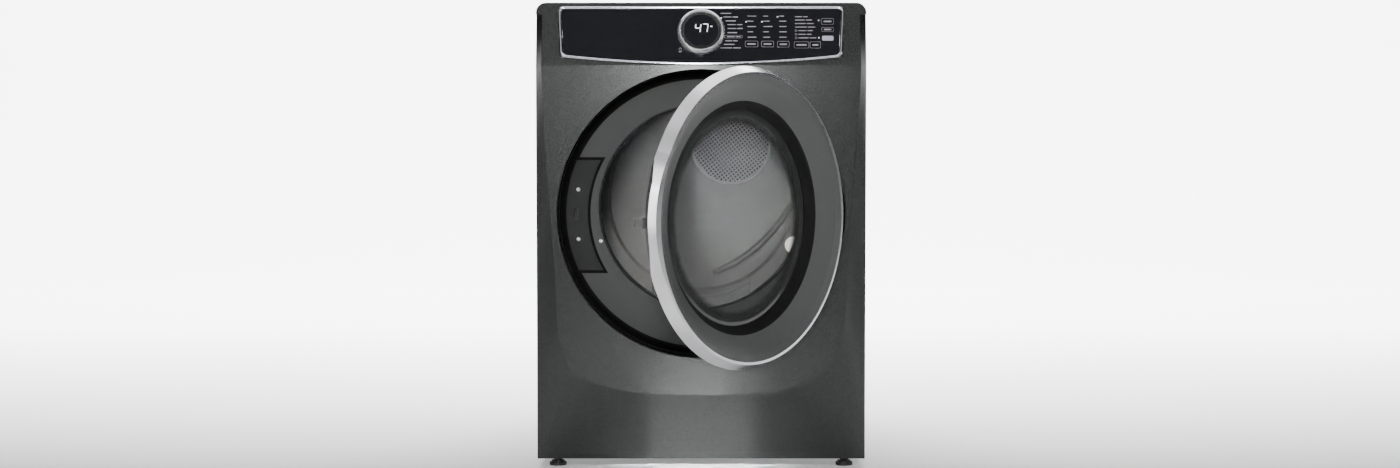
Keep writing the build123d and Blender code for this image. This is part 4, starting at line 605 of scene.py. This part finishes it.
KEYS = {
    "key_power": (-43.0, 34.0, 14.0, 13.0), "key_setting_a": (104.0, 47.0, 28.0, 15.0),
    "key_setting_b": (137.0, 47.0, 27.0, 15.0), "key_setting_c": (169.5, 46.5, 26.0, 15.0),
    "key_options": (207.0, 45.0, 32.0, 16.0), "key_hold": (235.5, 45.0, 23.0, 16.0),
    "key_start": (261.5, 97.5, 27.0, 15.0), "key_cancel": (261.5, 79.5, 26.0, 11.5),
    "key_steam": (261.5, 60.0, 25.0, 12.0),
}
BAR = 2.0
PIP = 2.7
WORD_LIMIT, WORD_SHARE, WORD_GAP = 24.0, 0.6, 1.6
ICON_ROWS = OPTIONS[4:]


def worded(x0, x1, up):
    """One name as one or two word-long bars: from WORD_LIMIT on it has a gap after WORD_SHARE of its length."""
    if x1 - x0 < WORD_LIMIT:
        return [capsule(x0, x1, up, BAR)]
    gap = x0 + WORD_SHARE * (x1 - x0)
    return [capsule(x0, gap - WORD_GAP / 2, up, BAR), capsule(gap + WORD_GAP / 2, x1, up, BAR)]


bars = [bar for x0, x1, up in PROGRAMMES + OPTIONS for bar in worded(x0, x1, up)]
bars += [capsule(x0, x1, up, BAR) for x0, ends in COLUMNS for x1, up in zip(ends, COLUMN_ROWS)]
icons = [rounded_box(196.2, up, 4.2, 4.6, 1.2) for _, _, up in ICON_ROWS]
pill = [rounded_box(66.8, 63.8, 37.5, 6.6, 3.2)]
console_names = join_marks("console_names", [solid_marks(bars, 0.0), line_marks(icons, 0.0, 0.7),
                                             line_marks(pill, 0.0, 0.4)])
dots = [capsule(x - PIP / 2, x + PIP / 2, up, PIP) for x, up in PIPS]
console_pips = join_marks("console_pips", [solid_marks(dots, 0.0)])
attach(console_names, "cabinet")
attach(console_pips, "cabinet")
print("marks", len(bars), "pips", len(dots))

# %% [markdown]
# ## Bead round the console
#
# The chrome frame is a half-round bead. Its outline is drawn once, then again and again with a growing inset:
# while the inset follows one minus the cosine of an angle and the height follows its sine, the rings lie on a
# half ellipse, and a grid joins them to one smooth moulding.

# %% Bead on the console frame
FRAME_HALF_LOW, FRAME_HALF_TOP = 291.0, 298.0
FRAME_TOP = 132.0
FRAME_DIP = 18.0
FRAME_CORNER = 14.0
BEAD_WIDTH, BEAD_HEIGHT, BEAD_SUNK = 6.6, 3.6, 0.4


def frame_path(inset, bend=7):
    """Outline drawn in by an inset: a sagging arc below, straight sides and top, parabolas at the corners."""
    low, top, high = FRAME_HALF_LOW - inset, FRAME_HALF_TOP - inset, FRAME_TOP - inset
    radius = (FRAME_HALF_LOW ** 2 + FRAME_DIP ** 2) / (2.0 * FRAME_DIP)
    turn = FRAME_CORNER - 0.7 * inset
    t = np.linspace(0.0, 1.0, bend)[:, None]
    x = np.linspace(-low + turn, low - turn, 61)
    sag = radius - np.sqrt(radius ** 2 - x ** 2) + inset
    below = np.stack([x, sag], -1)
    foot = np.array([low, radius - math.sqrt(radius ** 2 - low ** 2) + inset])
    peak = np.array([top, high])
    up = (peak - foot) / np.linalg.norm(peak - foot)

    def corner(start, vertex, end):
        return (1 - t) ** 2 * start + 2 * t * (1 - t) * vertex + t ** 2 * end

    right = np.concatenate([corner(below[-1], foot, foot + up * turn),
                            corner(peak - up * turn, peak, peak - (turn, 0.0))])
    left = right[::-1] * (-1.0, 1.0)
    return np.concatenate([below[1:-1], right, left])


section = np.linspace(0.0, math.pi, 9)
rings = [frame_path(BEAD_WIDTH / 2 * (1.0 - math.cos(a))) for a in section]
bead_points = [on_slope(ring[:, 0], ring[:, 1], BEAD_HEIGHT * math.sin(a) - BEAD_SUNK)
               for ring, a in zip(rings, section)]
frame_bead = link_mesh("console_frame_bead", np.concatenate(bead_points),
                       grid_faces(len(section), len(rings[0]), wrap_columns=True)[:, ::-1])
frame_bead.data.materials.append(FINISHES["chrome"])
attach(frame_bead, "cabinet")
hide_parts("console_frame")
print("bead faces", len(frame_bead.data.polygons))

# %% [markdown]
# ## Print on the keys
#
# A key moves, so its print has to move with it: each print is a piece of its own that rides on its key. Most
# carry an outline and a bar; one is filled, and the small round one shows a ring with a gap and a stroke.

# %% Print on each key
KEY_CORNER, KEY_LINE = 2.4, 0.6
key_prints = []
for name, (x, up, width, height) in KEYS.items():
    if name == "key_power":
        turn = np.linspace(math.radians(-245), math.radians(65), 20)
        rim = [np.stack([x + r * np.cos(a), up + 1.5 + r * np.sin(a)], -1)
               for r, a in ((3.2, turn), (2.6, turn[::-1]))]
        marks = [solid_marks([np.concatenate(rim), rounded_box(x, up + 4.2, 0.7, 3.4, 0.3)], KEY_TOP)]
        marks.append(solid_marks([capsule(x - 3.6, x + 3.6, up - 4.4, 1.6)], KEY_TOP))
    elif name == "key_steam":
        marks = [solid_marks([rounded_box(x, up, width - 1.4, height - 1.4, KEY_CORNER)], KEY_TOP)]
    else:
        outline = line_marks([rounded_box(x, up, width - 1.2, height - 1.2, KEY_CORNER)], KEY_TOP, KEY_LINE)
        bar_height = min(3.4, height - 7.5)
        reach = width / 2 - 5.0
        marks = [outline, solid_marks([capsule(x - reach, x + reach, up, bar_height)], KEY_TOP)]
    piece = join_marks(name + "_print", marks)
    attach(piece, name)
    key_prints.append(piece)
print("key prints", len(key_prints))

# %% [markdown]
# ## Digits
#
# The display shows minutes left in seven slanted strokes per digit, the way a lamp display does. A stroke is
# a bar with pointed ends; a digit is the set of strokes that are lit.

# %% Seven-stroke digits
STROKES = {"a": (0, 1, 0), "b": (0.5, 0.5, 1), "c": (0.5, -0.5, 1), "d": (0, -1, 0), "e": (-0.5, -0.5, 1),
           "f": (-0.5, 0.5, 1), "g": (0, 0, 0)}
DIGITS = {"4": "bcfg", "7": "abc"}
DIGIT_WIDTH, DIGIT_HALF, STROKE = 10.6, 9.2, 1.7
DIGIT_UP, DIGIT_SLANT, STROKE_GAP = 77.0, 0.12, 0.35


def stroke(x, up, column, row, upright):
    """Six-cornered bar: a line of the given length with its ends drawn to points, sheared by the slant."""
    half = (DIGIT_HALF if upright else DIGIT_WIDTH) / 2 - STROKE_GAP
    t = STROKE / 2
    along = np.array([-half, -half + t, half - t, half, half - t, -half + t])
    across = np.array([0.0, t, t, 0.0, -t, -t])
    flat = np.stack([across, along] if upright else [along, across], -1)
    flat = flat[::-1] if upright else flat
    middle = np.array([x + column * DIGIT_WIDTH, up + row * DIGIT_HALF])
    flat = flat + middle
    flat[:, 0] += DIGIT_SLANT * (flat[:, 1] - up)
    return flat[::-1]


lit = []
for digit, x in (("4", -6.5), ("7", 8.0)):
    for key in DIGITS[digit]:
        column, row, upright = STROKES[key]
        lit.append(stroke(x, DIGIT_UP, column, row, upright))
minute_mark = [capsule(18.5, 23.5, 81.0, 1.3)]
display_digits = join_marks("display_digits", [solid_marks(lit + minute_mark, LENS_TOP)])
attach(display_digits, "cabinet")
print("lit strokes", len(lit))

# %% [markdown]
# ## Hot-air grille
#
# Hot air enters the drum through a punched cover at the back. On the real one the holes are 5 mm diamonds, so
# close that only a lattice is left. The engineering model keeps a coarser field; here the lattice is woven
# from two sets of slanting strips with a low crown, trimmed to the cover's outline. The outline is the hull of
# one large circle and two small shoulder circles.

# %% Lattice strips
GRILLE_MIDDLE = (0.073, 0.676)
GRILLE_R = 0.098
GRILLE_PITCH = 0.0078
BULKHEAD_Y = 0.692
GRILLE_CIRCLES = np.array([(0.0, 0.0, GRILLE_R), (-0.052, 0.066, 0.042), (0.052, 0.066, 0.042)])
STRIP_HALF_WIDTH, STRIP_CROWN, STRIP_STEP = 0.0016, 0.0007, 0.0039
STRIP_ROWS, STRIP_PIECES = 34, 60
STRIP_TRIM = 0.004


def full_turn(count):
    """Directions all the way round, without the last one, which would repeat the first."""
    return np.linspace(0, 2 * math.pi, count, endpoint=False)


def grille_reach(turn):
    """How far each circle reaches in direction t: cx cos t + cz sin t + r, one column per circle."""
    x, z, r = GRILLE_CIRCLES.T
    return np.outer(np.cos(turn), x) + np.outer(np.sin(turn), z) + r


def inside_grille(x, z):
    """How far a point lies inside the outline: the least room to a support line in any direction."""
    turn = full_turn(72)
    along = (np.multiply.outer(x - GRILLE_MIDDLE[0], np.cos(turn))
             + np.multiply.outer(z - GRILLE_MIDDLE[1], np.sin(turn)))
    return (grille_reach(turn).max(1) - along).min(-1)


def grille_outline(turn, inset):
    """X and Z of the outline's point for each direction: the edge of the circle that reaches furthest."""
    best = GRILLE_CIRCLES[np.argmax(grille_reach(turn), axis=1)]
    r = best[:, 2] - inset
    return (GRILLE_MIDDLE[0] + best[:, 0] + r * np.cos(turn), GRILLE_MIDDLE[1] + best[:, 1] + r * np.sin(turn))


def lattice(name, tilt, lift):
    """Strips at one tilt: each is a row of short pieces kept where both ends are inside the outline.

    A strip's section is a low arch, five points across its width; its height follows 1 - s * s.
    """
    line = (np.arange(-STRIP_ROWS, STRIP_ROWS + 1) + 0.5) * GRILLE_PITCH
    along = np.arange(-STRIP_PIECES, STRIP_PIECES + 1) * STRIP_STEP
    across = np.linspace(-1.0, 1.0, 5)
    u, v = (math.cos(tilt), math.sin(tilt)), (-math.sin(tilt), math.cos(tilt))
    width = STRIP_HALF_WIDTH
    grid_l, grid_a, grid_s = np.meshgrid(line, along, across, indexing="ij")
    x = GRILLE_MIDDLE[0] + u[0] * grid_a + v[0] * (grid_l + grid_s * width)
    z = GRILLE_MIDDLE[1] + u[1] * grid_a + v[1] * (grid_l + grid_s * width)
    y = BULKHEAD_Y - 0.0016 - lift - STRIP_CROWN * (1.0 - grid_s ** 2)
    points = np.stack([x, y, z], -1).reshape(-1, 3)
    keep = inside_grille(x[:, :, 2], z[:, :, 2]) > STRIP_TRIM
    keep = keep[:, :-1] & keep[:, 1:]
    rows, cols = np.nonzero(keep)
    quads = []
    for s in range(4):
        a = (rows * len(along) + cols) * 5 + s
        b = a + 5
        quads.append(np.stack([a, a + 1, b + 1, b], -1))
    faces = np.concatenate(quads)
    used, faces = np.unique(faces, return_inverse=True)
    return link_mesh(name, points[used], faces.reshape(-1, 4))


def grille_rim(name, width=0.0065, rows=9, columns=120):
    """Rim round the lattice: a half-round bead whose section is swept along the outline."""
    section = np.linspace(0.0, math.pi, rows)
    inset = width / 2 - width / 2 * np.cos(section)
    height = 0.0026 * np.sin(section)
    x, z = grille_outline(full_turn(columns), inset[:, None])
    y = np.broadcast_to((BULKHEAD_Y - 0.0004 - height)[:, None], x.shape)
    points = np.stack([x, y, z], -1).reshape(-1, 3)
    return link_mesh(name, points, grid_faces(rows, columns, wrap_columns=True))


def duct_shade(name, points_round=96):
    """Black sheet of painted shade behind the lattice, standing in for the dark duct, cut to the outline 2 mm
    inside the rim.
    """
    x, z = grille_outline(full_turn(points_round), 0.002)
    edge = np.stack([x, np.full_like(x, BULKHEAD_Y - 0.0006), z], -1)
    middle = edge.mean(0, keepdims=True)
    first = np.arange(points_round)
    faces = np.stack([first, (first + 1) % points_round, np.full(points_round, points_round)], -1)
    return link_mesh(name, np.concatenate([edge, middle]), faces, smooth=False)


shade = duct_shade("grille_duct_shade")
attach(shade, "cabinet")
weave_a = lattice("grille_lattice_a", math.radians(37.0), 0.0)
weave_b = lattice("grille_lattice_b", math.radians(127.0), 0.0003)
rim = grille_rim("grille_rim")
for piece in (weave_a, weave_b, rim):
    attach(piece, "cabinet")
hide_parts("inlet_grille")
print("lattice faces", len(weave_a.data.polygons), len(weave_b.data.polygons))

# %% [markdown]
# ## Sheet-metal screws
#
# Hexagon washer-head screws hold the rear panel and the terminal cover. Each head is a profile of
# radius against height, turned round its own axis; where the profile belongs to the hexagon, the radius is
# divided by the cosine of the angle to the nearest flat, which turns the circle into six straight sides.

# %% Screw heads
HEAD = np.array([(0.0, 3.4), (2.6, 3.4), (3.3, 3.0), (3.4, 1.2), (4.9, 1.0), (5.1, 0.5), (5.0, 0.0)]) / 1000.0
HEXAGON = np.array([0, 1, 1, 1, 0, 0, 0])


def screw_heads(name, places, normal):
    """Heads at the given places, all standing out along one axis direction."""
    turn = full_turn(24)
    flat = np.cos(np.mod(turn, math.pi / 3) - math.pi / 6)
    squeeze = np.where(HEXAGON[:, None] > 0, math.cos(math.pi / 6) / flat[None, :], 1.0)
    r = HEAD[:, 0][:, None] * squeeze
    out = np.broadcast_to(HEAD[:, 1][:, None], r.shape)
    normal = np.array(normal, float)
    side = np.cross(normal, (0.0, 0.0, 1.0)) if abs(normal[2]) < 0.9 else np.array((1.0, 0.0, 0.0))
    up = np.cross(normal, side)
    head = (r * np.cos(turn))[..., None] * side + (r * np.sin(turn))[..., None] * up + out[..., None] * normal
    head = head.reshape(-1, 3)
    places = np.array(places, float)
    points = (places[:, None, :] + head[None]).reshape(-1, 3)
    faces = grid_faces(len(HEAD), len(turn), wrap_columns=True)
    faces = (np.arange(len(places))[:, None, None] * len(head) + faces[None]).reshape(-1, 4)
    piece = link_mesh(name, points, faces, smooth=False)
    return piece


# %% Heads on the rear and the cover
REAR_Y = 0.752
COVER_PROUD = 0.036
rear_edge = [(side * 0.331, REAR_Y, z) for side in (-1, 1) for z in (0.05, 0.2, 0.35, 0.5, 0.65, 0.8, 0.93)]
rear_edge += [(x, REAR_Y, z) for x in (-0.22, 0.0, 0.22) for z in (0.03, 0.935)]
rear_edge.append((-0.24, REAR_Y + COVER_PROUD, 0.275))
rear_screws = screw_heads("rear_screws", rear_edge, (0, 1, 0))
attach(rear_screws, "cabinet")
print("rear screws", len(rear_edge))

# %% [markdown]
# ## Ink and light on the console
#
# The ink is a pale grey with a soft edge of gloss. The lit pips and digits are small white lamps behind
# smoked plastic, so they give off a little light of their own.

# %% Ink, lamps and the lavender key
ink, ink_tree, ink_shader = new_finish("screen_print_ink", IOR=1.5)
mottled(ink_tree, ink_shader, "#88888c", "#9c9ca0", 1.5, (0.35, 0.45), 0.002)
glow, glow_tree, glow_shader = new_finish("white_led_window", IOR=1.5, Emission_Strength=1.6)
mottled(glow_tree, glow_shader, "#e8ebf2", "#f6f8fc", 2.0, (0.3, 0.4), 0.002)
glow_shader.inputs["Emission Color"].default_value = linear("#e9edf6")
lavender, lavender_tree, lavender_shader = new_finish("lavender_key_ink", IOR=1.5)
mottled(lavender_tree, lavender_shader, "#a9aabf", "#bcbdd0", 2.0, (0.3, 0.4), 0.002)
for piece, finish in [(console_names, ink), (console_pips, glow), (display_digits, glow)]:
    piece.data.materials.append(finish)
for piece in key_prints:
    piece.data.materials.append(lavender if piece.name.startswith("key_steam") else ink)
punched, punched_tree, punched_shader = new_finish("punched_steel", Metallic=0.4, IOR=1.5)
mottled(punched_tree, punched_shader, "#b0b1b0", "#c0c1c0", 4.0, (0.4, 0.5), 0.005)
for piece in (weave_a, weave_b, rim):
    piece.data.materials.append(punched)
# Painted shade: a near-black sheet behind the lattice stands in for the dark inside the duct.
shade.data.materials.append(moulded("painted_duct_shade", "#080808", "#0e0e0d", 3.0, (0.8, 0.95), 0.01))
rear_screws.data.materials.append(FINISHES["bright_steel"])

print("slots set on", len(key_prints) + 3, "prints")
